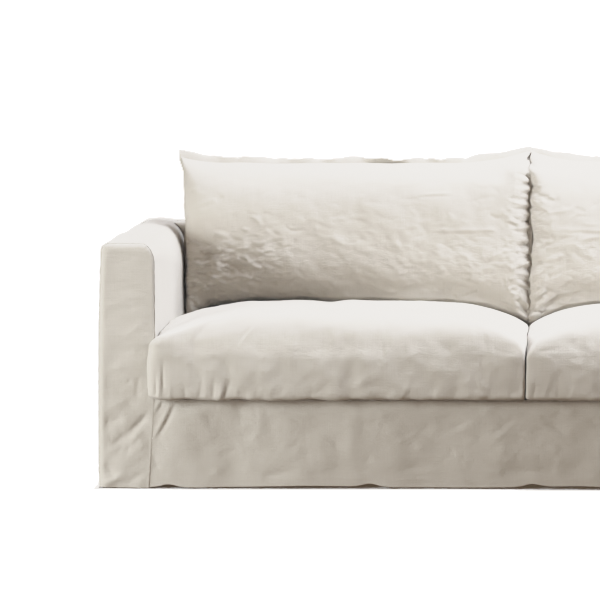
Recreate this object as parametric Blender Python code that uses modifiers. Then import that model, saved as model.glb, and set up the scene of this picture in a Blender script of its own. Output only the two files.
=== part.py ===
"""Loose linen slipcover for a two-cushion sofa: a hollow base cover cut in eight panels,
two filled seat cushions lying on its deck and two filled back cushions leaning on its back.

Metres, +Z up. The origin is the middle of the footprint at hem level, and -Y is the front.
Every panel is a thin sheet. Its folds stand outwards, because the cloth bears on what is inside.
"""

import math
from collections import namedtuple

import bmesh
import bpy
from mathutils import Vector

# Driving dimensions
WIDTH = 2.275  # over the outsides of the arms, near the hem
DEPTH = 0.920  # from the arm fronts to the outside back
ARM_WIDTH = 0.152
TOP_Z = 0.642  # tops of the arms and of the back
DECK_Z = 0.235  # upper face of the deck
BACK_THICKNESS = 0.110
CLOTH = 0.002
SEAM_GAP = 0.0005  # between two panels where they are sewn
SHOULDER_CLEARANCE = 0.006  # height between the top of the back and the arm's soft inner shoulder
CLEARANCE = 0.003  # between a cushion and what it touches

FRONT_Y = -0.440
BACK_Y = FRONT_Y + DEPTH
BACK_FACE_Y = BACK_Y - BACK_THICKNESS
OUTER_X = WIDTH / 2
INNER_X = OUTER_X - ARM_WIDTH

# Arm section: the outer shoulder is tight, the inner one softens towards the back
OUTER_LEAN = 0.0125  # the outside leans in this far at the top
OUTER_SHOULDER = 0.018
INNER_SHOULDER_FRONT = Vector((0.035, 0.050))  # width and height of the rounding
INNER_SHOULDER_BACK = Vector((0.060, 0.100))
ARM_CROWN = 0.003
SIDE_WALL_STEPS = 6
SHOULDER_STEPS = 4
ARM_TOP_STEPS = 2
ARM_ROWS = 9

# Hem
HEM_LIFT = 0.008
HEM_LIFT_HALF_WIDTH = 0.026
HEM_WAVE = 0.0015
APRON_LIFTS_X = (-0.936, -0.411, 0.010, 0.447, 0.905)
SIDE_LIFTS_Y = (-0.20, 0.24)
OUTSIDE_BACK_LIFTS_X = (-0.82, -0.30, 0.21, 0.74)
SEAM_DRIFT = 0.015  # the front seams run this far outwards from deck to hem

# Seat cushions
SEAT_EDGE_Z = 0.391  # top of the sides
SEAT_CROWN = 0.066  # from the sides to the middle
SEAT_CROWN_Y = -0.200  # the crown is highest here
SEAT_FALL = 0.170  # drop in front of and behind the crown, per square metre
SEAT_OVERHANG = 0.052  # in front of the arm fronts
SEAT_EAR = 0.018  # how far the front corner bulges over the arm front
SEAT_EDGE_RADIUS = {"arm": 0.030, "middle": 0.030, "front": 0.095, "rear": 0.050}
SEAT_BOTTOM_RADIUS = 0.022
SEAT_CORNER_RADIUS = 0.030
SEAT_STEPS = 10

# Back cushions
PILLOW_DEPTH = 0.165  # from the seam plane to the front of the bulge
PILLOW_REAR_SHARE = 0.14  # the rear is flattened to this share of that
PILLOW_FOOT_Y = 0.330
PILLOW_LEAN = math.radians(3)
PILLOW_TOP_Z = 0.828
PILLOW_EAR = {"arm": 0.021, "middle": 0.032}  # top corners above the middle of the top seam
PILLOW_FLARE = 0.024  # how far a top corner spreads over the arm
FOOT_CLEARANCE = 0.008  # between a back cushion's foot and the seat cushion under it
PILLOW_COLUMNS = 16
PILLOW_ROWS = 10

LINEN_COVER = (0.62, 0.58, 0.52, 1.0)
LINEN_CUSHION = (0.66, 0.62, 0.56, 1.0)
LINEN_ROUGHNESS = 0.9

# A fold is a soft ridge from (x, z) to (to_x, to_z) on its panel. Its height is outwards.
Fold = namedtuple("Fold", "x z to_x to_z half_width height")

ARM_FRONT_FOLDS = {
    "left": (
        Fold(-1.118, 0.010, -1.020, 0.105, 0.022, 0.0060),
        Fold(-1.085, 0.150, -1.000, 0.235, 0.024, 0.0050),
        Fold(-1.060, 0.330, -1.010, 0.420, 0.030, 0.0040),
    ),
    "right": (
        Fold(1.110, 0.020, 1.035, 0.120, 0.026, 0.0055),
        Fold(1.080, 0.190, 1.005, 0.240, 0.022, 0.0045),
        Fold(1.055, 0.400, 1.015, 0.470, 0.030, 0.0035),
    ),
}
APRON_FOLDS = (
    Fold(-0.900, 0.225, -0.860, 0.020, 0.060, 0.0045),
    Fold(-0.640, 0.200, -0.600, 0.010, 0.070, 0.0050),
    Fold(-0.330, 0.215, -0.350, 0.000, 0.060, 0.0045),
    Fold(-0.060, 0.180, -0.140, 0.010, 0.065, 0.0050),
    Fold(0.220, 0.210, 0.260, 0.000, 0.070, 0.0045),
    Fold(0.560, 0.190, 0.520, 0.010, 0.065, 0.0050),
    Fold(0.840, 0.215, 0.880, 0.010, 0.060, 0.0045),
)
OUTSIDE_BACK_FOLDS = (
    Fold(-0.980, 0.560, -0.960, 0.020, 0.080, 0.0060),
    Fold(-0.560, 0.300, -0.540, 0.000, 0.090, 0.0055),
    Fold(-0.050, 0.340, -0.060, 0.000, 0.090, 0.0060),
    Fold(0.480, 0.280, 0.500, 0.000, 0.085, 0.0055),
    Fold(0.960, 0.540, 0.940, 0.020, 0.080, 0.0060),
)
# On the outsides of the arms x stands for the distance along Y.
ARM_SIDE_FOLDS = (
    Fold(-0.330, 0.420, -0.350, 0.000, 0.070, 0.0050),
    Fold(0.020, 0.300, 0.000, 0.000, 0.080, 0.0060),
    Fold(0.340, 0.450, 0.360, 0.000, 0.070, 0.0050),
)


def clear_scene():
    for old in list(bpy.data.objects):
        bpy.data.objects.remove(old)


def linen(name, colour):
    """Matt woven linen in one colour."""
    material = bpy.data.materials.new(name)
    material.use_nodes = True
    shader = material.node_tree.nodes["Principled BSDF"]
    shader.inputs["Base Color"].default_value = colour
    shader.inputs["Roughness"].default_value = LINEN_ROUGHNESS
    shader.inputs["Metallic"].default_value = 0.0
    return material


def add_object(name, shape, collection, material):
    """Stores a bmesh as an object of the collection."""
    mesh = bpy.data.meshes.new(name)
    shape.to_mesh(mesh)
    shape.free()
    mesh.materials.append(material)
    mesh.shade_smooth()
    part = bpy.data.objects.new(name, mesh)
    collection.objects.link(part)
    return part


def mix(low, high, share):
    return low + (high - low) * share


def clamp(value):
    return min(max(value, 0.0), 1.0)


def smooth_step(value):
    return clamp(value) ** 2 * (3 - 2 * clamp(value))


def quarter_round(across, radius, height):
    """How far a rounding of that radius and height has drawn in at a point `across` its height."""
    share = clamp(across / height)
    return radius * (1 - math.sqrt(1 - share**2))


def fold_height(folds, x, z):
    """How far the cloth stands out at (x, z): the sum of soft ridges that fade at their ends."""
    height = 0.0
    for fold in folds:
        start, end, point = Vector((fold.x, fold.z)), Vector((fold.to_x, fold.to_z)), Vector((x, z))
        along = end - start
        share = clamp((point - start).dot(along) / along.length_squared)
        distance = (point - start - along * share).length
        height += fold.height * math.exp(-((distance / fold.half_width) ** 2))
    return height


def hem_z(along, lifts):
    """Height of the hem's edge, which waves a little and lifts where a flute ends."""
    wave = HEM_WAVE * (1 + math.sin(along * 11.0)) / 2
    lift = sum(math.exp(-(((along - place) / HEM_LIFT_HALF_WIDTH) ** 2)) for place in lifts)
    return wave + HEM_LIFT * lift


def outer_x(z):
    """Half the width over the arms at height z: the sides hang nearly plumb and lean in at the top."""
    return OUTER_X - OUTER_LEAN * (z / TOP_Z) ** 3


def front_seam_x(z):
    """Half the width between the two front seams at height z, where apron and arm fronts meet."""
    return INNER_X + SEAM_DRIFT * max(0.0, 1 - z / DECK_Z)


def inner_shoulder(y):
    share = smooth_step((y - FRONT_Y) / (DEPTH * 0.8))
    return INNER_SHOULDER_FRONT.lerp(INNER_SHOULDER_BACK, share)


def sheet(name, columns, rows, place, collection, material, mirrored=False):
    """A thin panel: a grid laid along place(u, v), with u and v from 0 to 1, thickened inwards."""
    shape = bmesh.new()
    bmesh.ops.create_grid(shape, x_segments=columns, y_segments=rows, size=0.5)
    for vertex in shape.verts:
        vertex.co = place(vertex.co.x + 0.5, vertex.co.y + 0.5)
        if mirrored:
            vertex.co.x = -vertex.co.x
    if mirrored:
        bmesh.ops.reverse_faces(shape, faces=shape.faces[:])
    panel = add_object(name, shape, collection, material)
    thickness = panel.modifiers.new("cloth thickness", "SOLIDIFY")
    thickness.thickness = CLOTH
    thickness.offset = -1.0
    thickness.use_even_offset = True
    return panel


def arc(centre, radii, start, end, steps):
    """Points of an elliptical arc after its first one, with angles in degrees from the first axis."""
    turns = [math.radians(mix(start, end, (i + 1) / steps)) for i in range(steps)]
    return [(centre[0] + radii[0] * math.cos(t), centre[1] + radii[1] * math.sin(t)) for t in turns]


def arm_section(y):
    """Section of the left arm's wrap at depth y, from its outer hem over the top to the deck."""
    inner = inner_shoulder(y)
    wall_top = TOP_Z - OUTER_SHOULDER
    hem = hem_z(y, SIDE_LIFTS_Y)
    edge_fade = smooth_step((y - FRONT_Y) / 0.12) * smooth_step((BACK_Y - y) / 0.12)
    points = []
    for step in range(SIDE_WALL_STEPS + 1):
        z = mix(hem, wall_top, step / SIDE_WALL_STEPS)
        points.append((-outer_x(z) - edge_fade * fold_height(ARM_SIDE_FOLDS, y, z), z))
    shoulder_x = -outer_x(wall_top) + OUTER_SHOULDER
    points += arc((shoulder_x, wall_top), (OUTER_SHOULDER, OUTER_SHOULDER), 180, 90, SHOULDER_STEPS)
    for step in range(1, ARM_TOP_STEPS + 1):
        share = step / ARM_TOP_STEPS
        x = mix(shoulder_x, -INNER_X - inner.x, share)
        points.append((x, TOP_Z + ARM_CROWN * math.sin(math.pi * share)))
    points += arc((-INNER_X - inner.x, TOP_Z - inner.y), inner, 90, 0, SHOULDER_STEPS)
    for step in range(1, SIDE_WALL_STEPS + 1):
        z = mix(TOP_Z - inner.y, DECK_Z + SEAM_GAP, step / SIDE_WALL_STEPS)
        points.append((-INNER_X, z))
    return points


def arm_wrap(side, collection, material):
    """The strip that runs up the outside of an arm, over its top and down its inside."""
    start_y, end_y = FRONT_Y + CLOTH + SEAM_GAP, BACK_Y - CLOTH - SEAM_GAP
    count = len(arm_section(start_y)) - 1

    def place(u, v):
        y = mix(start_y, end_y, v)
        x, z = arm_section(y)[round(u * count)]
        return Vector((x, y, z))

    return sheet(f"arm_{side}_wrap", count, ARM_ROWS, place, collection, material, side == "right")


def arm_front(side, collection, material):
    """The narrow front panel of an arm, rounded at its two top corners."""
    sign = -1 if side == "left" else 1
    columns, rows, straight_share = 6, 14, 0.7
    radius, height = INNER_SHOULDER_FRONT
    straight_top = TOP_Z - height

    def place(u, v):
        share = u if side == "left" else 1 - u
        hem = hem_z(mix(OUTER_X, INNER_X, share), ())
        z = mix(hem, straight_top, min(1.0, v / straight_share))
        z += height * math.sin(math.pi / 2 * max(0.0, v - straight_share) / (1 - straight_share))
        inner = front_seam_x(z) + SEAM_GAP / 2 + quarter_round(z - straight_top, radius, height)
        outer = outer_x(z) - quarter_round(z - TOP_Z + OUTER_SHOULDER, OUTER_SHOULDER, OUTER_SHOULDER)
        x = sign * mix(outer, inner, share)
        edge_fade = math.sin(math.pi * share) * smooth_step(2 * (1 - v))
        return Vector((x, FRONT_Y - edge_fade * fold_height(ARM_FRONT_FOLDS[side], x, z), z))

    return sheet(f"arm_{side}_front", columns, rows, place, collection, material)


def apron(collection, material):
    """The panel that hangs from the deck's front edge to the floor, between the front seams."""

    def place(u, v):
        top = DECK_Z - CLOTH
        along = mix(-1.0, 1.0, u)
        z = mix(hem_z(along * INNER_X, APRON_LIFTS_X), top, v)
        x = along * (front_seam_x(z) - SEAM_GAP / 2)
        edge_fade = smooth_step((1 - abs(along)) / 0.06) * smooth_step((top - z) / 0.06)
        return Vector((x, FRONT_Y - edge_fade * fold_height(APRON_FOLDS, x, z), z))

    return sheet("apron", 64, 4, place, collection, material)


def deck(collection, material):
    """The flat panel under the seat cushions."""
    half_width = INNER_X - SEAM_GAP
    front, rear = FRONT_Y + CLOTH + SEAM_GAP, BACK_FACE_Y - SEAM_GAP

    def place(u, v):
        return Vector((mix(-half_width, half_width, u), mix(front, rear, v), DECK_Z))

    return sheet("deck", 2, 1, place, collection, material)


def inside_back(collection, material):
    """The panel that rises from the deck behind the cushions and turns over the top of the back."""
    radius, wall_steps, top_steps = 0.030, 3, 2
    rear = BACK_Y - CLOTH - SEAM_GAP
    shoulder_z = TOP_Z - INNER_SHOULDER_BACK.y
    bend_z = TOP_Z - radius
    path = [(BACK_FACE_Y, mix(DECK_Z + SEAM_GAP, shoulder_z, i / wall_steps)) for i in range(wall_steps + 1)]
    path += [(BACK_FACE_Y, mix(shoulder_z, bend_z, (i + 1) / wall_steps)) for i in range(wall_steps)]
    path += arc((BACK_FACE_Y + radius, bend_z), (radius, radius), 180, 90, SHOULDER_STEPS)
    path += [(mix(BACK_FACE_Y + radius, rear, (i + 1) / top_steps), TOP_Z) for i in range(top_steps)]

    def place(u, v):
        y, z = path[round(v * (len(path) - 1))]
        drawn_in = quarter_round(z - SHOULDER_CLEARANCE - shoulder_z, *INNER_SHOULDER_BACK)
        return Vector((mix(-1, 1, u) * (INNER_X - SEAM_GAP + drawn_in), y, z))

    return sheet("inside_back", 10, len(path) - 1, place, collection, material)


def outside_back(collection, material):
    """The upright panel across the whole back, rounded at its two top corners."""
    straight_share = 0.75
    straight_top = TOP_Z - OUTER_SHOULDER

    def place(u, v):
        along = mix(1.0, -1.0, u)
        hem = hem_z(along * OUTER_X, OUTSIDE_BACK_LIFTS_X)
        z = mix(hem, straight_top, min(1.0, v / straight_share))
        z += OUTER_SHOULDER * math.sin(math.pi / 2 * max(0.0, v - straight_share) / (1 - straight_share))
        x = along * (outer_x(z) - quarter_round(z - straight_top, OUTER_SHOULDER, OUTER_SHOULDER))
        edge_fade = smooth_step((1 - abs(along)) / 0.05) * smooth_step(3 * (1 - v))
        return Vector((x, BACK_Y + edge_fade * fold_height(OUTSIDE_BACK_FOLDS, x, z), z))

    return sheet("outside_back", 40, 8, place, collection, material)


def seat_crown(distance_from_middle, y):
    """Height of a seat cushion's top over its sides, `distance_from_middle` away from the seat's middle."""
    across = abs(2 * distance_from_middle / INNER_X - 1)
    return SEAT_CROWN * (1 - min(1.0, across) ** 5) - SEAT_FALL * (y - SEAT_CROWN_Y) ** 2


def seat_profile(radius):
    """(inset, z) up the side of a seat cushion whose top edge has that radius, bottom to top."""
    bottom = DECK_Z + SEAM_GAP
    rows = []
    for turn in (0, math.pi / 6, math.pi / 3, math.pi / 2):
        inset = SEAT_BOTTOM_RADIUS * (1 - math.sin(turn))
        rows.append((inset, bottom + SEAT_BOTTOM_RADIUS * (1 - math.cos(turn))))
    rows.append((0.0, mix(rows[-1][1], SEAT_EDGE_Z - radius, 0.5)))
    upper_rows = SEAT_STEPS - len(rows)
    for step in range(upper_rows + 1):
        turn = math.pi / 2 * step / upper_rows
        rows.append((radius * (1 - math.cos(turn)), SEAT_EDGE_Z - radius * (1 - math.sin(turn))))
    return rows


def seat_cushion(side, collection, material):
    """A filled cushion: soft top edges, a crown, and a front corner that bulges past the arm."""
    sign = -1 if side == "left" else 1
    half_width = (INNER_X - 2 * CLEARANCE) / 2
    centre_x = sign * INNER_X / 2
    front, rear = FRONT_Y - SEAT_OVERHANG, BACK_FACE_Y - CLEARANCE
    rows_y = [front, front + 0.012, front + SEAT_CORNER_RADIUS, FRONT_Y - 0.005, -0.38]
    rows_y += [-0.24, -0.06, 0.12, 0.26, rear - 0.026, rear]
    centre_y, half_depth = (front + rear) / 2, (rear - front) / 2

    shape = bmesh.new()
    bmesh.ops.create_cube(shape, size=2.0)
    bmesh.ops.subdivide_edges(shape, edges=shape.edges[:], cuts=SEAT_STEPS - 1, use_grid_fill=True)
    for vertex in shape.verts:
        a = math.sin(vertex.co.x * math.pi / 2)
        row_y = rows_y[round((vertex.co.y + 1) / 2 * SEAT_STEPS)]
        b = (row_y - centre_y) / half_depth
        level = round((vertex.co.z + 1) / 2 * SEAT_STEPS)
        outward = max(abs(a), abs(b), 1e-6)
        beside = "arm" if a * sign > 0 else "middle"
        along = "front" if b < 0 else "rear"
        weight_x, weight_y = (abs(a) / outward) ** 6, (abs(b) / outward) ** 6
        radius = (SEAT_EDGE_RADIUS[beside] * weight_x + SEAT_EDGE_RADIUS[along] * weight_y) / (weight_x + weight_y)
        inset, z = seat_profile(radius)[level]

        reach = Vector((half_width - inset, half_depth - inset))
        point = Vector((a * reach.x, b * reach.y))
        core = Vector((
            min(max(point.x, SEAT_CORNER_RADIUS - reach.x), reach.x - SEAT_CORNER_RADIUS),
            min(max(point.y, SEAT_CORNER_RADIUS - reach.y), reach.y - SEAT_CORNER_RADIUS),
        ))
        beyond = point - core
        if beyond.length > 0:
            point = core + beyond * (max(abs(beyond.x), abs(beyond.y)) / beyond.length)

        x, y = centre_x + point.x, centre_y + point.y
        share_of_height = (z - DECK_Z) / (SEAT_EDGE_Z - DECK_Z)
        z += seat_crown(abs(x), y) * smooth_step(share_of_height)
        ear = smooth_step((FRONT_Y - 0.004 - y) / 0.012) * smooth_step((abs(x) - 0.5 * INNER_X) / (0.4 * INNER_X))
        x += sign * SEAT_EAR * ear * math.sin(math.pi * clamp(share_of_height))
        vertex.co = Vector((x, y, z))
    return add_object(f"seat_cushion_{side}", shape, collection, material)


def back_cushion(side, collection, material):
    """A filled knife-edge cushion against the back: full in front of its seams, flattened behind them."""
    sign = -1 if side == "left" else 1

    def place(a, b, depth):
        across, up = (a + 1) / 2, (b + 1) / 2
        near_arm = across if side == "right" else 1 - across
        flare = PILLOW_FLARE * smooth_step((up - 0.55) / 0.45)
        distance = mix(CLEARANCE / 2, INNER_X - CLEARANCE + flare, near_arm)
        ear = mix(PILLOW_EAR["middle"], PILLOW_EAR["arm"], near_arm) * abs(a) ** 4
        low = SEAT_EDGE_Z + seat_crown(distance, PILLOW_FOOT_Y) + FOOT_CLEARANCE
        z = mix(low, PILLOW_TOP_Z + ear, up)
        bulge = math.sqrt(max(0.0, (1 - abs(a) ** 2.5) * (1 - abs(b) ** 2.5)))
        seam_y = PILLOW_FOOT_Y + (z - SEAT_EDGE_Z) * math.tan(PILLOW_LEAN)
        return Vector((sign * distance, seam_y + depth * bulge, z))

    shape = bmesh.new()
    for depth in (PILLOW_DEPTH * PILLOW_REAR_SHARE, -PILLOW_DEPTH):
        half = bmesh.ops.create_grid(shape, x_segments=PILLOW_COLUMNS, y_segments=PILLOW_ROWS, size=1.0)
        for vertex in half["verts"]:
            a, b = math.sin(vertex.co.x * math.pi / 2), math.sin(vertex.co.y * math.pi / 2)
            vertex.co = place(a, b, depth)
        if depth > 0:  # only the rear half is there yet, and it has to face the rear
            bmesh.ops.reverse_faces(shape, faces=shape.faces[:])
    bmesh.ops.remove_doubles(shape, verts=shape.verts[:], dist=0.0001)
    return add_object(f"back_cushion_{side}", shape, collection, material)


def main():
    clear_scene()
    collection = bpy.data.collections.new("slipcover")
    bpy.context.scene.collection.children.link(collection)
    cover = linen("linen cover", LINEN_COVER)
    cushion_linen = linen("linen cushion", LINEN_CUSHION)

    for side in ("left", "right"):
        arm_wrap(side, collection, cover)
        arm_front(side, collection, cover)
        seat_cushion(side, collection, cushion_linen)
        back_cushion(side, collection, cushion_linen)
    apron(collection, cover)
    deck(collection, cover)
    inside_back(collection, cover)
    outside_back(collection, cover)


main()
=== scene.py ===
"""Loose linen slipcover with two seat and two back cushions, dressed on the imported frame.

Metres, +Z up, and -Y is the front. Wrinkles that the photograph shows are placed in its pixels, 600
across and 600 down, and pressed into the cloth that the camera sees there. Their heights are in
millimetres.
"""

import math
from collections import namedtuple

import bpy
import numpy as np
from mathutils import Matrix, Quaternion, Vector


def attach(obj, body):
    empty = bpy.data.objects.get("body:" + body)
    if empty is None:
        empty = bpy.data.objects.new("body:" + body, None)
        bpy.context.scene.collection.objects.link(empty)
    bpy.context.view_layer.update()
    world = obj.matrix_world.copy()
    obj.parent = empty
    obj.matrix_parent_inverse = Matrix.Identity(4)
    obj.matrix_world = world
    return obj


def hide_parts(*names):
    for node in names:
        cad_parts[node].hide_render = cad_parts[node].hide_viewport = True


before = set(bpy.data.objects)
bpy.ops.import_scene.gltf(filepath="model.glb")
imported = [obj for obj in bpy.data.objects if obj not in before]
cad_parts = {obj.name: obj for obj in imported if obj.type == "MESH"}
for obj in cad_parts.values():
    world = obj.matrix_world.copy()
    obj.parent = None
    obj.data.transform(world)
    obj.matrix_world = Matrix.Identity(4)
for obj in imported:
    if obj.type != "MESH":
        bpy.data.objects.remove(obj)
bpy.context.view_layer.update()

# ---------------------------------------------------------------- camera

EYE = (0.0, -8.44, 1.27775)
YAW, PITCH, ROLL = -0.07476, -0.09706, -0.00382
LENS = 184.235
SENSOR = 36.0
PICTURE = 600  # pixels each way

# ---------------------------------------------------------------- sizes of the cover, as in the part's source

MILLIMETRE = 0.001
WIDTH = 2.275
DEPTH = 0.920
ARM_WIDTH = 0.152
TOP_Z = 0.642
DECK_Z = 0.235
BACK_THICKNESS = 0.110
CLOTH = 0.002
SEAM_GAP = 0.0005
CLEARANCE = 0.003

FRONT_Y = -0.440
BACK_Y = FRONT_Y + DEPTH
BACK_FACE_Y = BACK_Y - BACK_THICKNESS
OUTER_X = WIDTH / 2
INNER_X = OUTER_X - ARM_WIDTH

OUTER_LEAN = 0.0125
OUTER_SHOULDER = 0.018
INNER_SHOULDER_FRONT = (0.035, 0.050)
INNER_SHOULDER_BACK = (0.060, 0.100)
ARM_CROWN = 0.003
FRONT_ROLL = 0.019  # how far the front panel of an arm curls back at its outer and top edges
INNER_ROLL = 0.005  # and at its inner edge
SEWN_ROLL = 0.0008  # and where it is sewn to the apron

HEM_LIFT = 0.008
HEM_LIFT_HALF_WIDTH = 0.026
HEM_WAVE = 0.0015
HEM_ALLOWANCE = 0.030
HEM_DROP = 0.0045  # the cloth hangs this far below the hem line of the drawing
# The apron's hem rises towards the middle: places from the middle, and heights.
APRON_HEM_X = (-1.00, -0.87, -0.75, -0.60, -0.45, -0.34, -0.20, -0.07, 0.13, 0.35, 0.70, 1.00)
APRON_HEM_RISE = (0.0, 0.001, 0.004, 0.008, 0.006, 0.0048, 0.006, 0.0077, 0.0106, 0.007, 0.004, 0.0)
APRON_TUCK = 0.003  # how far the apron's top is drawn back under the seat
APRON_TUCK_HEIGHT = 0.006
# How far the apron's foot hangs back, at its left end and from the middle on.
APRON_HANG_BACK = (0.002, 0.007)
APRON_LIFTS_X = (-0.936, -0.411, 0.010, 0.447, 0.905)
SIDE_LIFTS_Y = (-0.20, 0.24)
OUTSIDE_BACK_LIFTS_X = (-0.82, -0.30, 0.21, 0.74)
SEAM_DRIFT = 0.015

SEAT_EDGE_Z = 0.391
SEAT_CROWN = 0.066
SEAT_CROWN_Y = -0.200
SEAT_FALL = 0.170
SEAT_OVERHANG = 0.052
SEAT_EDGE_RADIUS = {"arm": 0.007, "middle": 0.010, "front": 0.105, "rear": 0.050}
SEAT_SEAM_RADIUS = 0.006  # beside the other seat, at the front
SEAT_END_RADIUS = {"arm": 0.030, "middle": 0.060}  # of the top front edge, at its two ends
SEAT_BOTTOM_RADIUS = 0.014
SEAT_ARM_LIFT = 0.012  # the seat stands up against the arm, at the front
SEAT_HALF_GAP = 0.0009
# The seam between the two seats leans: its place across at these heights.
SEAT_SEAM_Z = (0.235, 0.251, 0.293, 0.346, 0.398, 0.432)
SEAT_SEAM_X = (-0.0085, -0.0085, -0.0076, -0.0070, -0.0046, 0.0013)
# The bottom front edge rises towards the middle: distances from it, and heights.
SEAT_FOOT_X = (0.0, 0.20, 0.47, 0.72, 1.0)
SEAT_FOOT_RISE = (0.0062, 0.0045, 0.0036, 0.0, 0.0)
# How far the front corner bulges past the arm's inside, at these heights.
SEAT_EAR_Z = (0.235, 0.2416, 0.261, 0.287, 0.319, 0.351, 0.383, 0.406, 0.430)
SEAT_EAR_X = (0.010, 0.0175, 0.0195, 0.0215, 0.0205, 0.0185, 0.0125, 0.0070, 0.0)
SEAT_CORNER_RADIUS = {"arm": 0.030, "middle": 0.009}
# Waves across the seats' tops: places, half widths and heights.
SEAT_TOP_WAVES = (
    (-0.660, 0.030, 0.0018),
    (-0.556, 0.030, -0.0045),
    (-0.493, 0.024, 0.0020),
    (-0.760, 0.040, 0.0012),
    (0.640, 0.050, -0.003),
)
SEAT_GRID = (122, 44, 20)  # squares across, deep and high, before they are halved
SEAT_ROWS_Y = (-0.38, -0.24, -0.06, 0.12, 0.26)  # of the lattice, between its two edges
# The lattice goes round the bottom edge up to the first share of its height, and up the wall to the next.
SEAT_WALL_STARTS = 0.24
SEAT_WALL_ENDS = 0.40

PILLOW_DEPTH = 0.165
PILLOW_REAR_SHARE = 0.14
PILLOW_FOOT_Y = 0.330
PILLOW_LEAN = math.radians(3)
PILLOW_TOP_Z = 0.8315
PILLOW_EAR = {"arm": 0.021, "middle": 0.033}
PILLOW_REACH = 0.0125  # beyond the arm's inside, over the arm's rounded shoulder
PILLOW_FLARE = 0.012
PILLOW_FULLNESS = {"arm": (8.0, 4.2), "middle": (11.0, 6.0)}
PILLOW_UPRIGHT = {"arm": 2.9, "middle": 3.8}
FLANGE_LAP = 0.0040  # how far each back cushion's flange passes the middle
FLANGE_STEP = 0.0030  # the left one in front and the right one behind
FOOT_CLEARANCE = 0.0025
PILLOW_GRID = (112, 70)
# Columns down the wall beside the gap, and rows over the top edge, by how near they are to the end.
WALL_STEPS = (0.011, 0.007, 0.004, 0.002, 0.001, 0.0005, 0.0001, 0.00001)
TOP_STEPS = (0.012, 0.006, 0.003, 0.0012, 0.0004, 0.0001)
TOP_PUFF = 0.006  # the cloth stands up in front of the top flange
FLANGE = {"top": 0.0205, "foot": 0.003, "arm": 0.004, "middle": 0.0065}
FLANGE_RINGS = 3
FLANGE_LEAN_BACK = 0.012
SEAM_FORWARD = 0.122  # beside the gap the seam lies this far forward, close behind the fronts
ARM_SEAM_FORWARD = 0.078  # and against the arm, up to the arm's top
FOOT_FORWARD = 0.112  # and along the foot, where the cushion stands on the seat
FOOT_HIDDEN = 0.007  # the seat's crown hides the cushion's front up to this far below the crown's line
FOOT_UNDERCUT = (0.005, 0.013)  # above that the front draws back: over what height, and how far
# How far the front falls back beside the gap, and how near it.
GAP_ROUNDING = {"left": (0.022, 0.048), "right": (0.012, 0.022)}

# ---------------------------------------------------------------- wrinkles

# The heights in the tables below are multiplied by these.
CREASE_DEPTH = 1.7
GATHER_DEPTH = 2.0
PLEAT_DEPTH = 2.7
# Powers that shape the ridges across: creases, gathers and soft folds.
CREASE_SHARPNESS = 1.5
GATHER_SHARPNESS = 1.1
FOLD_SHARPNESS = 2.0
# From (x, y) to (to_x, to_y). The height is in millimetres, and below zero for a trough. bend moves its
# middle sideways.
Crease = namedtuple("Crease", "x y to_x to_y half_width height bend", defaults=(0.0,))
# Many small creases about (x, y), at `angle` degrees below the horizontal.
Patch = namedtuple("Patch", "x y spread_x spread_y count angle angle_spread length half_width height")

# Soft folds of the hanging panels, in metres along and up the panel.
ARM_FRONT_FOLDS = {
    "left": (
        Crease(-1.118, 0.010, -1.020, 0.105, 0.022, 6.0),
        Crease(-1.085, 0.150, -1.000, 0.235, 0.024, 5.0),
        Crease(-1.060, 0.330, -1.010, 0.420, 0.030, 4.0),
    ),
    "right": (
        Crease(1.110, 0.020, 1.035, 0.120, 0.026, 5.5),
        Crease(1.080, 0.190, 1.005, 0.240, 0.022, 4.5),
        Crease(1.055, 0.400, 1.015, 0.470, 0.030, 3.5),
    ),
}
APRON_FOLDS = (
    Crease(-0.900, 0.225, -0.860, 0.020, 0.060, 4.5),
    Crease(-0.640, 0.200, -0.600, 0.010, 0.070, 5.0),
    Crease(-0.330, 0.215, -0.350, 0.000, 0.060, 4.5),
    Crease(-0.060, 0.180, -0.140, 0.010, 0.065, 5.0),
    Crease(0.220, 0.210, 0.260, 0.000, 0.070, 4.5),
    Crease(0.560, 0.190, 0.520, 0.010, 0.065, 5.0),
    Crease(0.840, 0.215, 0.880, 0.010, 0.060, 4.5),
)
OUTSIDE_BACK_FOLDS = (
    Crease(-0.980, 0.560, -0.960, 0.020, 0.070, 8.0),
    Crease(-0.760, 0.480, -0.735, 0.020, 0.050, -4.0, 0.012),
    Crease(-0.560, 0.330, -0.540, 0.000, 0.070, 8.0),
    Crease(-0.330, 0.250, -0.345, 0.010, 0.045, -4.5, -0.010),
    Crease(-0.050, 0.370, -0.060, 0.000, 0.070, 8.5),
    Crease(0.190, 0.420, 0.215, 0.010, 0.050, -4.0, 0.012),
    Crease(0.480, 0.310, 0.500, 0.000, 0.065, 8.0),
    Crease(0.720, 0.230, 0.700, 0.010, 0.045, -4.0, -0.010),
    Crease(0.960, 0.540, 0.940, 0.020, 0.070, 8.0),
)
ARM_SIDE_FOLDS = (
    Crease(-0.330, 0.420, -0.350, 0.000, 0.070, 5.0),
    Crease(-0.170, 0.260, -0.155, 0.010, 0.045, -3.0),
    Crease(0.020, 0.320, 0.000, 0.000, 0.065, 7.0),
    Crease(0.190, 0.220, 0.180, 0.010, 0.045, -3.5),
    Crease(0.340, 0.450, 0.360, 0.000, 0.065, 6.5),
)

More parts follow.
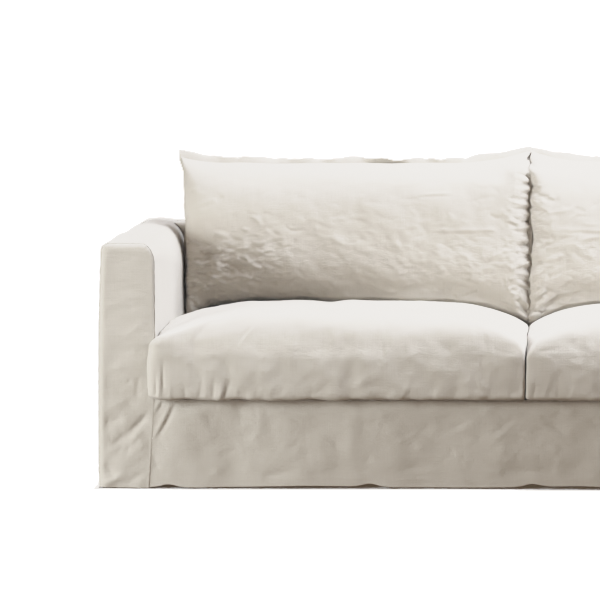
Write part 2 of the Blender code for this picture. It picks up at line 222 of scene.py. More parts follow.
# Creases seen in the photograph, in its pixels.
ARM_FRONT_CREASES = (
    Crease(149, 412, 121, 439, 2.8, -3.6, -1.5),
    Crease(123, 437, 112, 446, 3.2, -2.2),
    Crease(146, 424, 126, 447, 3.5, 1.7),
    Crease(139, 376, 138, 398, 1.8, -1.3, 1.0),
    Crease(130, 378, 128, 384, 1.6, -1.2),
    Crease(133, 391, 140, 397, 1.5, -1.2),
    Crease(104, 464, 116, 478, 4.0, -3.0),
    Crease(101, 486, 127, 473, 3.5, 3.2),
    Crease(126, 484, 143, 473, 4.0, -2.4),
    Crease(122, 338, 147, 321, 4.0, 1.8),
    Crease(110, 292, 145, 288, 2.2, -0.8),
    Crease(115, 300, 148, 297, 2.0, 0.9),
    Crease(112, 309, 147, 306, 2.2, -0.9),
    Crease(108, 350, 146, 352, 6.0, -1.2),
    Crease(104, 372, 128, 366, 5.0, 1.2),
    Crease(104, 410, 128, 400, 6.0, 1.6),
    Crease(105, 427, 122, 416, 4.5, -1.6),
    Crease(104, 455, 120, 446, 4.0, 1.5),
)
APRON_CREASES = (
    Crease(152, 417, 161, 398, 2.0, 2.9, 0.5),
    Crease(154, 417, 163, 399, 1.8, -2.6, 0.5),
    Crease(152, 441, 172, 402, 2.4, 3.4, 1.0),
    Crease(155, 440, 176, 401, 2.4, -3.2, 1.0),
    Crease(153, 455, 158, 470, 2.0, -1.6),
    Crease(190, 402, 214, 440, 10.0, 1.6),
    Crease(236, 402, 246, 425, 8.0, -2.2),
    Crease(262, 408, 256, 450, 9.0, 1.5),
    Crease(216, 458, 240, 448, 4.0, -0.9),
    Crease(285, 452, 302, 440, 4.0, -1.0),
    Crease(262, 478, 300, 468, 6.0, -2.0),
    Crease(205, 482, 228, 462, 8.0, 1.6),
    Crease(440, 434, 470, 420, 3.2, -0.9),
    Crease(444, 438, 474, 424, 3.2, 0.5),
    Crease(491, 436, 516, 416, 3.0, -0.8),
    Crease(496, 439, 520, 419, 3.0, 0.5),
    Crease(400, 470, 450, 462, 7.0, -1.8),
    Crease(500, 474, 590, 466, 8.0, -1.8),
    Crease(350, 415, 352, 465, 7.0, 1.5),
    Crease(362, 405, 366, 450, 7.0, -1.2),
    Crease(318, 430, 330, 470, 10.0, 1.2),
)
SEAT_CREASES = {
    "left": (
        Crease(150, 357, 300, 358, 4.5, 1.1, -1.5),
        Crease(270, 358, 420, 357, 4.5, 1.2, 1.5),
        Crease(390, 356, 524, 354, 4.5, 1.0, -1.5),
        Crease(155, 346, 330, 346, 6.5, -0.4),
        Crease(300, 345, 520, 344, 6.5, -0.4),
        Crease(254, 325, 237, 346, 2.0, -1.6, 2.0),
        Crease(257, 326, 240, 347, 2.0, 1.2, 2.0),
        Crease(180, 357, 206, 356, 2.2, -1.2),
        Crease(296, 352, 333, 351, 2.0, -1.0),
        Crease(327, 326, 331, 346, 2.0, -1.4),
        Crease(314, 360, 326, 357, 1.6, -2.2),
        Crease(315, 357, 326, 354, 1.6, 1.8),
        Crease(383.6, 344, 383.6, 355, 1.8, -2.2),
        Crease(386.0, 344, 386.0, 355, 1.8, 1.3),
        Crease(404, 347, 404, 355, 1.8, -2.0),
        Crease(446, 344, 452, 355, 2.0, -1.5),
        Crease(399, 400, 410, 378, 2.2, 1.5, 2.0),
        Crease(402, 401, 413, 380, 2.2, -0.6, 2.0),
        Crease(476, 378, 490, 390, 2.0, 1.6, 2.0),
        Crease(475, 382, 488, 393, 2.0, -1.4, 2.0),
        Crease(508, 396, 522, 390, 3.0, -2.4),
        Crease(340, 345, 372, 347, 2.4, -0.9),
        Crease(410, 357, 440, 361, 2.0, -1.0),
        Crease(455, 350, 485, 345, 2.2, 1.0),
        Crease(346, 392, 372, 370, 3.0, 1.2, 2.0),
        Crease(246, 371, 284, 366, 3.5, 1.2),
        Crease(216, 360, 236, 372, 3.0, -1.2),
    ),
    "right": (
        Crease(536, 352, 560, 349, 2.2, -1.0),
        Crease(541, 393, 553, 375, 2.4, 0.9, 1.5),
        Crease(572, 346, 588, 350, 2.2, -1.2),
        Crease(583, 398, 594, 380, 2.6, 0.9, 1.5),
    ),
}
# Gathers start at a seam with their full height and fade out.
SEAT_GATHERS = {
    "left": (
        Crease(163, 386, 162, 362, 2.0, -3.4),
        Crease(155.5, 394, 155.5, 378, 1.6, -3.0),
        Crease(159, 394, 160, 372, 1.8, 2.2),
        Crease(170, 396, 171, 380, 2.4, 1.6),
        Crease(185, 396, 184, 385, 2.2, -1.4),
        Crease(199, 396, 202, 377, 2.2, -1.6),
        Crease(205, 396, 207, 380, 2.2, 1.3),
        Crease(213, 396, 214.5, 375, 2.0, -3.0),
        Crease(221, 396, 222, 384, 2.2, 2.8),
        Crease(224, 396, 231, 379, 2.2, -3.2),
        Crease(236, 396, 238, 384, 2.4, 1.4),
        Crease(247, 396, 246, 388, 2.4, -0.7),
        Crease(259, 396, 262, 385, 2.4, 0.8),
        Crease(274, 396, 277, 384, 2.2, -0.9),
        Crease(284, 396, 288, 386, 2.2, 0.7),
        Crease(296, 396, 299, 384, 2.2, -0.8),
        Crease(312, 396, 313, 389, 2.4, -0.6),
        Crease(330, 396, 333, 386, 2.6, 0.7),
        Crease(349, 396, 350, 388, 2.4, -0.7),
        Crease(366, 396, 371, 386, 2.6, 0.7),
        Crease(386, 396, 388, 388, 2.2, -0.7),
        Crease(421, 396, 420, 388, 2.4, -0.7),
        Crease(436, 396, 440, 386, 2.6, 0.8),
        Crease(455, 396, 456, 388, 2.4, -0.7),
        Crease(468, 396, 474, 386, 2.6, 0.8),
        Crease(497, 396, 499, 386, 2.4, -0.8),
        Crease(524, 384, 516, 382, 1.6, -1.6),
        Crease(525, 366, 515, 366, 1.6, -1.4),
    ),
    "right": (
        Crease(534, 396, 536, 380, 2.0, -1.3),
        Crease(545, 396, 548, 384, 2.4, 1.0),
        Crease(558, 396, 559, 386, 2.4, -1.0),
        Crease(571, 396, 575, 385, 2.4, 0.9),
        Crease(589, 396, 590, 386, 2.4, -0.9),
    ),
}
PILLOW_CREASES = {
    "left": (
        Crease(193, 208.5, 217, 199, 2.0, 1.7, -1.0),
        Crease(195, 212, 219, 202.5, 2.0, -0.6, -1.0),
        Crease(216, 202, 223, 196, 2.6, -1.6),
        Crease(197, 231, 204, 227, 2.2, -1.4),
        Crease(420, 194.8, 453, 193.4, 1.4, 1.5),
        Crease(420, 197.4, 453, 196.0, 1.4, -1.2),
        Crease(428, 230, 500, 229, 1.8, 1.2, 1.0),
        Crease(430, 233, 500, 232, 1.8, -1.0, 1.0),
        Crease(199, 265, 226, 270, 2.4, 2.6, 1.0),
        Crease(200, 269, 226, 275, 2.2, -2.2, 1.0),
        Crease(186, 279, 206, 283, 2.2, 2.4, 1.0),
        Crease(186, 286, 204, 290, 2.4, -2.0),
        Crease(186, 303, 197, 315, 2.0, 3.0),
        Crease(190, 302, 203, 313, 2.0, -2.6),
        Crease(205, 247, 232, 251, 2.6, 1.6),
        Crease(232, 262, 262, 268, 2.4, 1.6, -1.0),
        Crease(243, 236, 246, 262, 5.0, 1.8),
        Crease(252, 240, 254, 262, 4.0, -1.6),
        Crease(278, 226, 287, 252, 6.0, 1.6),
        Crease(270, 288, 300, 300, 6.0, 1.6),
        Crease(350, 206, 362, 226, 6.0, -1.2),
        Crease(397, 230, 402, 250, 4.0, -1.6),
        Crease(424, 205, 420, 222, 6.0, -1.0),
        Crease(330, 236, 352, 246, 3.0, 1.6, 1.5),
        Crease(352, 248, 372, 258, 3.0, -1.6, 1.5),
    ),
    "right": (
        Crease(536, 196, 560, 200, 1.8, -1.4),
        Crease(534, 204, 552, 214, 1.8, 1.6),
        Crease(545, 214, 575, 209, 2.0, 1.2),
        Crease(536, 232, 556, 240, 2.0, -1.4),
        Crease(540, 262, 566, 256, 2.4, 1.4),
        Crease(536, 286, 556, 294, 2.4, -1.6),
        Crease(538, 305, 556, 296, 2.4, 1.8),
    ),
}
# Pleats drawn into the seam in the gap between the back cushions, from the top down.
PILLOW_GATHERS = {
    "left": (
        Crease(530, 158, 521, 161, 1.5, -2.6),
        Crease(530, 166, 520, 168, 1.8, 1.6),
        Crease(531, 175.5, 514, 173.5, 2.4, -4.2, 1.0),
        Crease(531, 180.5, 517, 181.5, 1.4, 2.2),
        Crease(531, 183.5, 516, 186.0, 1.3, -2.4),
        Crease(531, 188, 518, 190, 1.8, 1.8),
        Crease(531, 193, 520, 194, 1.6, -2.6),
        Crease(531, 200.5, 513, 198.5, 1.8, -3.0),
        Crease(531, 205, 512, 203, 1.6, 2.4),
        Crease(531, 209, 511, 210, 1.8, -3.0),
        Crease(531, 214, 512, 217, 1.8, 2.4),
        Crease(531, 221, 518, 223, 1.8, -3.2),
        Crease(531, 226, 516, 229, 1.8, 2.0),
        Crease(531, 233, 512, 231, 2.0, -3.0),
        Crease(531, 239, 513, 240, 1.8, 2.2),
        Crease(531, 245, 515, 247, 1.8, -3.2),
        Crease(531, 251, 514, 252, 1.8, 2.2),
        Crease(531, 257, 517, 260, 1.8, -3.0),
        Crease(531, 263, 513, 264, 1.8, 2.2),
        Crease(531, 269, 515, 268, 1.8, -3.2),
        Crease(531, 275, 512, 273, 2.0, 2.4),
        Crease(531, 281, 514, 279, 1.8, -3.0),
        Crease(531, 292, 512, 285, 2.2, -2.6, 1.0),
        Crease(531, 287, 514, 280, 2.0, 2.8),
        Crease(530, 306, 520, 295, 1.8, 3.6, -1.0),
        Crease(529, 312, 516, 300, 2.0, -3.8),
        Crease(528, 318, 512, 308, 2.2, 3.4),
        Crease(528, 323, 514, 315, 1.8, -3.4),
        Crease(527, 316, 519, 309, 1.3, -2.4),
        Crease(526, 320, 510, 318, 1.3, 2.0),
    ),
    "right": (
        Crease(530.5, 165, 538, 167, 1.6, -2.0),
        Crease(530.5, 186, 541, 190, 1.8, -2.6),
        Crease(530.5, 199, 543, 205, 1.8, 2.2),
        Crease(530.5, 207, 541, 213, 1.8, -2.6),
        Crease(530.5, 222, 540, 224, 1.8, -2.2),
        Crease(530.5, 239, 542, 243, 1.8, -2.4),
        Crease(530.5, 255, 542, 256, 1.8, 2.2),
        Crease(530.5, 266, 543, 263, 1.8, -2.6),
        Crease(530.5, 283, 543, 278, 2.0, -2.6),
        Crease(530.5, 297, 544, 289, 2.0, 2.8),
        Crease(530.5, 305, 545, 298, 2.0, -3.2),
        Crease(530.5, 317, 542, 310, 2.0, 2.6),
    ),
}
PILLOW_PATCHES = (
    Patch(208, 277, 18, 18, 190, 6, 15, 13, 1.25, 2.4),
    Patch(240, 262, 22, 16, 130, 8, 17, 14, 1.3, 2.2),
    Patch(300, 262, 40, 22, 110, 6, 26, 15, 1.8, 1.0),
    Patch(390, 262, 50, 22, 130, 10, 26, 15, 1.8, 0.9),
    Patch(470, 268, 35, 28, 120, 14, 26, 15, 1.8, 1.1),
    Patch(515, 250, 9, 50, 80, 0, 22, 12, 1.4, 1.5),
    Patch(520, 302, 8, 14, 40, 35, 25, 9, 1.3, 1.3),
    Patch(420, 215, 70, 20, 40, 3, 18, 22, 1.8, 0.6),
    Patch(260, 205, 50, 25, 24, -6, 24, 20, 2.2, 0.6),
)
SEAT_PATCHES = (
    Patch(350, 352, 120, 7, 90, 2, 20, 16, 1.6, 0.7),
    Patch(220, 358, 45, 12, 45, 0, 30, 14, 1.7, 0.8),
    Patch(440, 372, 70, 14, 60, 0, 45, 14, 1.8, 0.7),
    Patch(300, 380, 90, 10, 50, 0, 50, 14, 1.9, 0.6),
)
ARM_FRONT_PATCHES = (
    Patch(126, 300, 14, 32, 60, 2, 8, 20, 1.3, 0.45),
    Patch(125, 420, 14, 34, 44, -25, 25, 14, 1.7, 0.6),
)
APRON_PATCHES = (
    Patch(240, 440, 60, 30, 60, 70, 40, 16, 2.3, 0.5),
    Patch(400, 445, 90, 28, 80, 60, 60, 16, 2.3, 0.5),
    Patch(540, 440, 50, 28, 50, 20, 60, 14, 2.2, 0.5),
)
# Where the cloth is finely crushed: places and half widths in pixels, and how much.
Crushed = namedtuple("Crushed", "x y spread_x spread_y strength")
PILLOW_CRUSHED = (
    Crushed(205, 274, 28, 34, 1.0),
    Crushed(262, 262, 45, 24, 0.8),
    Crushed(350, 262, 80, 26, 0.6),
    Crushed(470, 265, 60, 34, 0.65),
    Crushed(522, 245, 12, 70, 0.9),
    Crushed(300, 215, 160, 22, 0.2),
)
SEAT_CRUSHED = (
    Crushed(340, 352, 170, 9, 0.5),
    Crushed(330, 388, 220, 14, 0.45),
    Crushed(450, 370, 80, 20, 0.4),
)
PANEL_CRUSHED = 0.25  # the same all over
# Where the seam between the back cushions opens: pixels down, half a height, and millimetres to each side.
GAP_OPENINGS = (
    (159, 1.6, 3.6),
    (175, 2.0, 4.1),
    (186, 2.5, 1.0),
    (195, 3.0, 2.4),
    (206, 3.0, 1.9),
    (214, 3.5, 2.9),
    (228, 2.5, 1.4),
    (240, 5.0, 2.4),
    (255, 3.5, 3.6),
    (269, 2.5, 1.9),
    (284, 3.0, 3.1),
    (300, 4.0, 3.1),
    (310, 4.0, 4.1),
)
GAP_OPENING_SHARE = {"left": 1.25, "right": 0.6}
# Folds of the flange where it is pinched, in pixels across the top seam.
FLANGE_PINCHES = (238, 289, 316, 341, 412, 425, 441, 466)
# Where the flange leans: pixels across, half a width, and millimetres to the front.
FLANGE_LEANS = (
    (203, 12, -3),
    (229, 9, 9),
    (262, 14, -4),
    (300, 9, 8),
    (331, 8, 10),
    (388, 26, 28),
    (441, 9, 10),
    (470, 12, -4),
    (572, 9, 14),
)
FLANGE_SAG = 0.3  # share of its height that the flange loses where it leans furthest
FLANGE_FURTHEST_LEAN = 0.028
# The middle of the cover in the photograph, in pixels across, and where the two flanges meet.
MIDDLE_ACROSS = 528.5
FLANGES_MEET = 529


# ---------------------------------------------------------------- small tools


def mix(low, high, share):
    return low + (high - low) * share


def smooth_step(value):
    value = np.clip(value, 0.0, 1.0)
    return value**2 * (3 - 2 * value)


def quarter_round(across, radius, height):
    """How far a rounding of that radius and height has drawn in at a point `across` its height."""
    share = np.clip(across / height, 0.0, 1.0)
    return radius * (1 - np.sqrt(1 - share**2))


def crowded(count, crowding=0.5):
    """Steps from 0 to 1 that are closer together at both ends."""
    even = np.linspace(0.0, 1.0, count + 1)
    return mix(even, (1 - np.cos(math.pi * even)) / 2, crowding)


def camera_turn():
    look = Vector((math.sin(YAW) * math.cos(PITCH), math.cos(YAW) * math.cos(PITCH), math.sin(PITCH)))
    return look.to_track_quat("-Z", "Y") @ Quaternion((0, 0, 1), ROLL)


def picture_places(points):
    """Where the photograph shows each point, in its pixels across and down."""
    local = (points - np.array(EYE)) @ np.array(camera_turn().to_matrix())
    zoom = PICTURE * LENS / SENSOR
    across = PICTURE / 2 - zoom * local[..., 0] / local[..., 2]
    down = PICTURE / 2 + zoom * local[..., 1] / local[..., 2]
    return np.stack((across, down), -1)


def fade_both(share):
    return np.sin(math.pi * np.clip(share, 0.0, 1.0)) ** 0.7


def fade_away(share):
    return np.cos(math.pi / 2 * np.clip(share, 0.0, 1.0)) ** 0.8


def no_fade(share):
    return np.ones_like(share)


def crease_heights(places, creases, fade=fade_both, sharpness=CREASE_SHARPNESS):
    """How far the cloth stands out at each place, in metres: the sum of its creases."""
    flat = places.reshape(-1, 2)
    heights = np.zeros(len(flat))
    for crease in creases:
        start = np.array((crease.x, crease.y))
        along = np.array((crease.to_x, crease.to_y)) - start
        length = np.hypot(*along)
        middle = start + along / 2
        reach = length / 2 + 3 * crease.half_width + abs(crease.bend)
        near = np.nonzero(np.max(np.abs(flat - middle), axis=1) < reach)[0]
        offset = flat[near] - start
        run = offset @ along / length
        side = offset @ np.array((-along[1], along[0])) / length
        share = np.clip(run / length, 0.0, 1.0)
        side = side - 4 * crease.bend * share * (1 - share)
        beyond = np.maximum(0.0, np.abs(run - length / 2) - length / 2)
        distance = np.hypot(side, beyond) / crease.half_width
        heights[near] += crease.height * fade(share) * np.exp(-(distance**sharpness))
    return heights.reshape(places.shape[:-1]) * MILLIMETRE


def crumples(patches, seed):
    """The small creases of the patches, the same on every run."""
    generator = np.random.default_rng(seed)
    creases = []
    for patch in patches:
        for _ in range(patch.count):
            x, y = generator.normal((patch.x, patch.y), (patch.spread_x, patch.spread_y))
            angle = math.radians(generator.normal(patch.angle, patch.angle_spread))
            length = patch.length * generator.uniform(0.4, 1.6)
            dx, dy = length / 2 * math.cos(angle), length / 2 * math.sin(angle)
            half_width = patch.half_width * generator.uniform(0.7, 1.5)
            height = patch.height * generator.uniform(0.3, 1.3) * generator.choice((-1, 1))
            bend = length * generator.normal(0, 0.10)
            creases.append(Crease(x - dx, y - dy, x + dx, y + dy, half_width, height, bend))
    return creases


def across_the_middle(x):
    return 2 * MIDDLE_ACROSS - x


def mirrored(creases):
    """The same creases on the other half of the cover."""
    return [
        crease._replace(x=across_the_middle(crease.x), to_x=across_the_middle(crease.to_x), bend=-crease.bend)
        for crease in creases
    ]


def mirrored_patches(patches):
    return [patch._replace(x=across_the_middle(patch.x), angle=-patch.angle) for patch in patches]


def mirrored_spots(side, spots):
    return spots if side == "left" else [spot._replace(x=across_the_middle(spot.x)) for spot in spots]


def undulation(points, wavelength, seed, stretch=(1, 1, 1)):
    """Smooth random heights of about -1 to 1 over the points, the same on every run."""
    generator = np.random.default_rng(seed)
    count = 14
    heights = np.zeros(points.shape[:-1])
    for _ in range(count):
        direction = generator.normal(size=3)
        wave = direction / np.linalg.norm(direction) / np.array(stretch)
        wave *= 2 * math.pi / wavelength * generator.uniform(0.6, 1.5)
        heights += np.sin(points @ wave + generator.uniform(0, 2 * math.pi))
    return heights / math.sqrt(count)


def waves(points, seed, long_waves, short_waves):
    """Two undulations over the points, each given by its wavelength and height."""
    heights = undulation(points, long_waves[0], seed) * long_waves[1]
    return heights + undulation(points, short_waves[0], seed + 1) * short_waves[1]


# ---------------------------------------------------------------- meshes


def grid_quads(rows, columns):
    """Corners of the squares of a grid of points with that many rows and columns."""
    index = np.arange(rows * columns).reshape(rows, columns)
    return np.stack((index[:-1, :-1], index[:-1, 1:], index[1:, 1:], index[1:, :-1]), -1).reshape(-1, 4)


def grid_normals(points):
    along_rows = np.gradient(points, axis=1)
    along_columns = np.gradient(points, axis=0)
    normals = np.cross(along_rows, along_columns)
    return normals / np.maximum(np.linalg.norm(normals, axis=-1, keepdims=True), 1e-12)


def path_lengths(points, axis):
    """Distance along the cloth from the middle of the grid, in metres."""
    steps = np.linalg.norm(np.diff(points, axis=axis), axis=-1)
    start = np.zeros_like(np.take(steps, [0], axis=axis))
    lengths = np.concatenate((start, np.cumsum(steps, axis=axis)), axis=axis)
    middle = np.take(lengths, [lengths.shape[axis] // 2], axis=axis)
    return lengths - middle


def crushed_share(places, crushed):
    """How finely crushed the cloth is at each place, from 0 to 1."""
    share = np.zeros(places.shape[:-1])
    for spot in crushed:
        across, down = (places[..., 0] - spot.x) / spot.spread_x, (places[..., 1] - spot.y) / spot.spread_y
        share = np.maximum(share, spot.strength * np.exp(-(across**2) - down**2))
    return share


def set_crushed(mesh, share):
    mesh.attributes.new("crushed", "FLOAT", "POINT").data.foreach_set("value", share.astype(np.float32))


def new_mesh(name, points, quads, cloth_places=None):
    """A mesh object of those points and squares, with the places on the flat cloth as its UV map."""
    mesh = bpy.data.meshes.new(name)
    mesh.from_pydata(points.reshape(-1, 3).tolist(), [], quads.tolist())
    if cloth_places is not None:
        layer = mesh.uv_layers.new(name="cloth")
        corners = np.empty(len(mesh.loops), dtype=np.int32)
        mesh.loops.foreach_get("vertex_index", corners)
        layer.data.foreach_set("uv", cloth_places.reshape(-1, 2)[corners].astype(np.float32).ravel())
    mesh.shade_smooth()
    thing = bpy.data.objects.new(name, mesh)
    bpy.context.scene.collection.objects.link(thing)
    return thing


CUT_EDGE_ANGLE = math.radians(60)  # edges of the cloth that turn by more are sharp


def cloth_sheet(name, points, material, flip=False):
    """A panel of cloth along a grid of points, as thick as the linen, with its outer face on the points."""
    rows, columns = points.shape[:2]
    quads = grid_quads(rows, columns)
    if flip:
        quads = quads[:, ::-1]
    places = np.stack((path_lengths(points, 1), path_lengths(points, 0)), -1)
    panel = new_mesh(name, points, quads, places)
    set_crushed(panel.data, np.full(rows * columns, PANEL_CRUSHED))
    panel.data.materials.append(material)
    thickness = panel.modifiers.new("cloth thickness", "SOLIDIFY")
    thickness.thickness = CLOTH
    thickness.offset = -1.0
    settle(panel)
    panel.data.set_sharp_from_angle(angle=CUT_EDGE_ANGLE)
    return panel


def points_of(mesh):
    values = np.empty(len(mesh.vertices) * 3, dtype=np.float32)
    mesh.vertices.foreach_get("co", values)
    return values.reshape(-1, 3).astype(float)


def normals_of(mesh):
    values = np.empty(len(mesh.vertices) * 3, dtype=np.float32)
    mesh.vertices.foreach_get("normal", values)
    return values.reshape(-1, 3).astype(float)


def set_points(mesh, points):
    mesh.vertices.foreach_set("co", points.astype(np.float32).ravel())
    mesh.update()


def halve_squares(thing):
    """Applies one subdivision, so the cushion has its fine surface."""
    smoothing = thing.modifiers.new("smoothing", "SUBSURF")
    smoothing.levels = smoothing.render_levels = 1
    settle(thing)


def settle(thing):
    """Makes the shape that the thing's modifiers give it its own."""
    evaluated = thing.evaluated_get(bpy.context.evaluated_depsgraph_get())
    settled = bpy.data.meshes.new_from_object(evaluated)
    thing.modifiers.clear()
    first = thing.data
    thing.data = settled
    name = first.name
    bpy.data.meshes.remove(first)
    settled.name = name


# ---------------------------------------------------------------- cloth simulation of the cushions

SIM_FRAMES = 18
SIM_PRESSURE = 4.0
SIM_STIFFNESS = 15.0
SIM_BENDING = 0.3


def simulated(name, points, quads, cut):
    """Where the cloth of a filled cover goes when it was cut to the shape of the points `cut`."""
    thing = new_mesh(name, points, quads)
    thing.shape_key_add(name="sewn")
    key = thing.shape_key_add(name="cut")
    key.data.foreach_set("co", cut.astype(np.float32).ravel())
    key.value = 0.0
    cloth = thing.modifiers.new("cloth", "CLOTH")
    settings = cloth.settings
    settings.quality = 4
    settings.mass = 0.3
    settings.tension_stiffness = SIM_STIFFNESS
    settings.compression_stiffness = SIM_STIFFNESS
    settings.shear_stiffness = SIM_STIFFNESS / 4
    settings.bending_stiffness = SIM_BENDING
    settings.use_pressure = True
    settings.uniform_pressure_force = SIM_PRESSURE
    settings.rest_shape_key = key
    settings.effector_weights.gravity = 0.0
    cloth.collision_settings.use_self_collision = False
    cloth.point_cache.frame_start = 1
    cloth.point_cache.frame_end = SIM_FRAMES
    for step in range(1, SIM_FRAMES + 1):
        bpy.context.scene.frame_set(step)
    evaluated = thing.evaluated_get(bpy.context.evaluated_depsgraph_get())
    result = points_of(evaluated.data)
    mesh = thing.data
    bpy.data.objects.remove(thing)
    bpy.data.meshes.remove(mesh)
    bpy.context.scene.frame_set(1)
    return result


def capped(moves, limit):
    size = np.linalg.norm(moves, axis=-1, keepdims=True)
    return moves * np.minimum(1.0, limit / np.maximum(size, 1e-9))


def smoothed(values, passes):
    for _ in range(passes):
        padded = np.pad(values, ((1, 1), (1, 1), (0, 0)), mode="edge")
        sides = padded[:-2, 1:-1] + padded[2:, 1:-1] + padded[1:-1, :-2] + padded[1:-1, 2:]
        values = (sides + 4 * values) / 8
    return values


# ---------------------------------------------------------------- shape rules shared with the part's source


def hem_z(along, lifts):
    wave = HEM_WAVE * (1 + np.sin(along * 11.0)) / 2
    lift = sum(np.exp(-(((along - place) / HEM_LIFT_HALF_WIDTH) ** 2)) for place in lifts)
    return wave + HEM_LIFT * lift - HEM_DROP


def outer_x(z):
    return OUTER_X - OUTER_LEAN * (z / TOP_Z) ** 3


def front_seam_x(z):
    return INNER_X + SEAM_DRIFT * np.maximum(0.0, 1 - z / DECK_Z)


def inner_shoulder(y):
    share = smooth_step((y - FRONT_Y) / (DEPTH * 0.8))
    return tuple(mix(low, high, share) for low, high in zip(INNER_SHOULDER_FRONT, INNER_SHOULDER_BACK))


def seat_crown(distance_from_middle, y):
    across = np.abs(2 * distance_from_middle / INNER_X - 1)
    return SEAT_CROWN * (1 - np.minimum(1.0, across) ** 5) - SEAT_FALL * (y - SEAT_CROWN_Y) ** 2


def seat_waves(x, y):
    """Low waves across the top of the seats, towards the back."""
    height = 0
    for place, half_width, rise in SEAT_TOP_WAVES:
        height = height + rise * np.exp(-(((x - place) / half_width) ** 2))
    return height * smooth_step((y + 0.30) / 0.35)


def roll_radius(x):
    """How far the arm's front panel curls back at its edge, at `x` from the middle of the cover."""
    return mix(INNER_ROLL, FRONT_ROLL, smooth_step((np.abs(x) - INNER_X) / 0.045))


# ---------------------------------------------------------------- shader maths


class Signal:
    """A socket of a material's tree. Sums written with it add their Math nodes."""

    def __init__(self, tree, socket):
        self.tree = tree
        self.socket = socket

    def node(self, kind, settings=None, inputs=None, output=0):
        """Adds a node: its settings first, then the values or links of its sockets."""
        return add_node(self.tree, kind, settings, inputs, output)

    def sum(self, operation, *values):
        return self.node("ShaderNodeMath", {"operation": operation}, dict(enumerate(values)))

    def __add__(self, other):
        return self.sum("ADD", self, other)

    def __sub__(self, other):
        return self.sum("SUBTRACT", self, other)

    def __rsub__(self, other):
        return self.sum("SUBTRACT", other, self)

    def __mul__(self, other):
        return self.sum("MULTIPLY", self, other)

    def __truediv__(self, other):
        return self.sum("DIVIDE", self, other)

    def __pow__(self, other):
        return self.sum("POWER", self, other)

    __radd__ = __add__
    __rmul__ = __mul__


def add_node(tree, kind, settings=None, inputs=None, output=0):
    node = tree.nodes.new(kind)
    for name, value in (settings or {}).items():
        setattr(node, name, value)
    for name, value in (inputs or {}).items():
        if isinstance(value, Signal):
            tree.links.new(value.socket, node.inputs[name])
        else:
            node.inputs[name].default_value = value
    return Signal(tree, node.outputs[output])


def sine(signal):
    return signal.sum("SINE", signal)


def noise(place, scale, detail=2.0, roughness=0.5, distortion=0.0, stretch=None):
    """Noise at a place on the cloth, `scale` to the metre, drawn out along the axes of `stretch`."""
    if stretch:
        place = place.node("ShaderNodeMapping", None, {"Vector": place, "Scale": stretch})
    sockets = {"Vector": place, "Scale": scale, "Detail": detail, "Roughness": roughness}
    return place.node("ShaderNodeTexNoise", None, {**sockets, "Distortion": distortion})


# ---------------------------------------------------------------- materials

YARN_PITCH = 0.0011
LINEN = (0.505, 0.463, 0.400, 1.0)
LINEN_LIGHT = (0.575, 0.535, 0.473, 1.0)
LINEN_ROUGHNESS = 0.88
LINEN_SHEEN = 0.25
LINEN_SHEEN_ROUGHNESS = 0.6
LINEN_SPECULAR = 0.25
WEAVE_HEIGHT = 0.00006
YARN_HEIGHT = 0.00032
FINE_FOLD_HEIGHT = 0.0013
UNEVENNESS = 0.6  # how much yarns, clouds and flecks each change the tone


def linen(name, crumple):
    """Washed linen: plain weave with thick and thin yarns, fine crumples and slightly uneven colour."""
    material = bpy.data.materials.new(name)
    material.use_nodes = True
    tree = material.node_tree
    shader = tree.nodes["Principled BSDF"]
    shader.inputs["Sheen Weight"].default_value = LINEN_SHEEN
    shader.inputs["Sheen Roughness"].default_value = LINEN_SHEEN_ROUGHNESS
    shader.inputs["Specular IOR Level"].default_value = LINEN_SPECULAR

    cloth = add_node(tree, "ShaderNodeUVMap", {"uv_map": "cloth"})
    split = cloth.node("ShaderNodeSeparateXYZ", None, {"Vector": cloth})
    across, up = split, Signal(tree, split.socket.node.outputs[1])
    turns = 2 * math.pi / YARN_PITCH
    wander = noise(cloth, 60.0) * 2.0
    weave = sine(across * turns + wander) * sine(up * turns + wander)

    warp_slubs = noise(cloth, 1.0, 1.0, stretch=(620.0, 14.0, 1.0))
    weft_slubs = noise(cloth, 1.0, 1.0, stretch=(14.0, 620.0, 1.0))
    yarns = warp_slubs + weft_slubs

    ridges = noise(cloth, 34.0, 4.0, 0.55, 0.7)
    ridges = 1.0 - ridges.sum("ABSOLUTE", ridges - 0.5) * 5.0
    ridges = ridges.sum("MAXIMUM", ridges, 0.0)
    clouds = noise(cloth, 12.0, 3.0, 0.6)

    crushed = cloth.node("ShaderNodeAttribute", {"attribute_name": "crushed"}, None, 2)
    folds = noise(cloth, 1.0, 4.0, 0.6, 0.6, stretch=(24.0, 78.0, 1.0))
    folds = 1.0 - folds.sum("ABSOLUTE", folds - 0.5) * 5.0
    folds = folds.sum("MAXIMUM", folds, 0.0) * crushed

    fleck = noise(cloth, 420.0, 2.0, 0.6)
    tone = (yarns - 1.0) * UNEVENNESS + (clouds - 0.5) * UNEVENNESS + (fleck - 0.5) * UNEVENNESS + 0.5
    colours = {0: tone, 6: LINEN, 7: LINEN_LIGHT}
    colour = cloth.node("ShaderNodeMix", {"data_type": "RGBA", "clamp_factor": True}, colours, 2)
    tree.links.new(colour.socket, shader.inputs["Base Color"])
    roughness = LINEN_ROUGHNESS + (yarns - 1.0) * 0.12
    tree.links.new(roughness.socket, shader.inputs["Roughness"])

    height = weave * WEAVE_HEIGHT + yarns * YARN_HEIGHT
    height = height + ridges * clouds * crumple + folds * FINE_FOLD_HEIGHT
    bump = cloth.node("ShaderNodeBump", None, {"Strength": 1.0, "Distance": 1.0, "Height": height})
    tree.links.new(bump.socket, shader.inputs["Normal"])
    return material


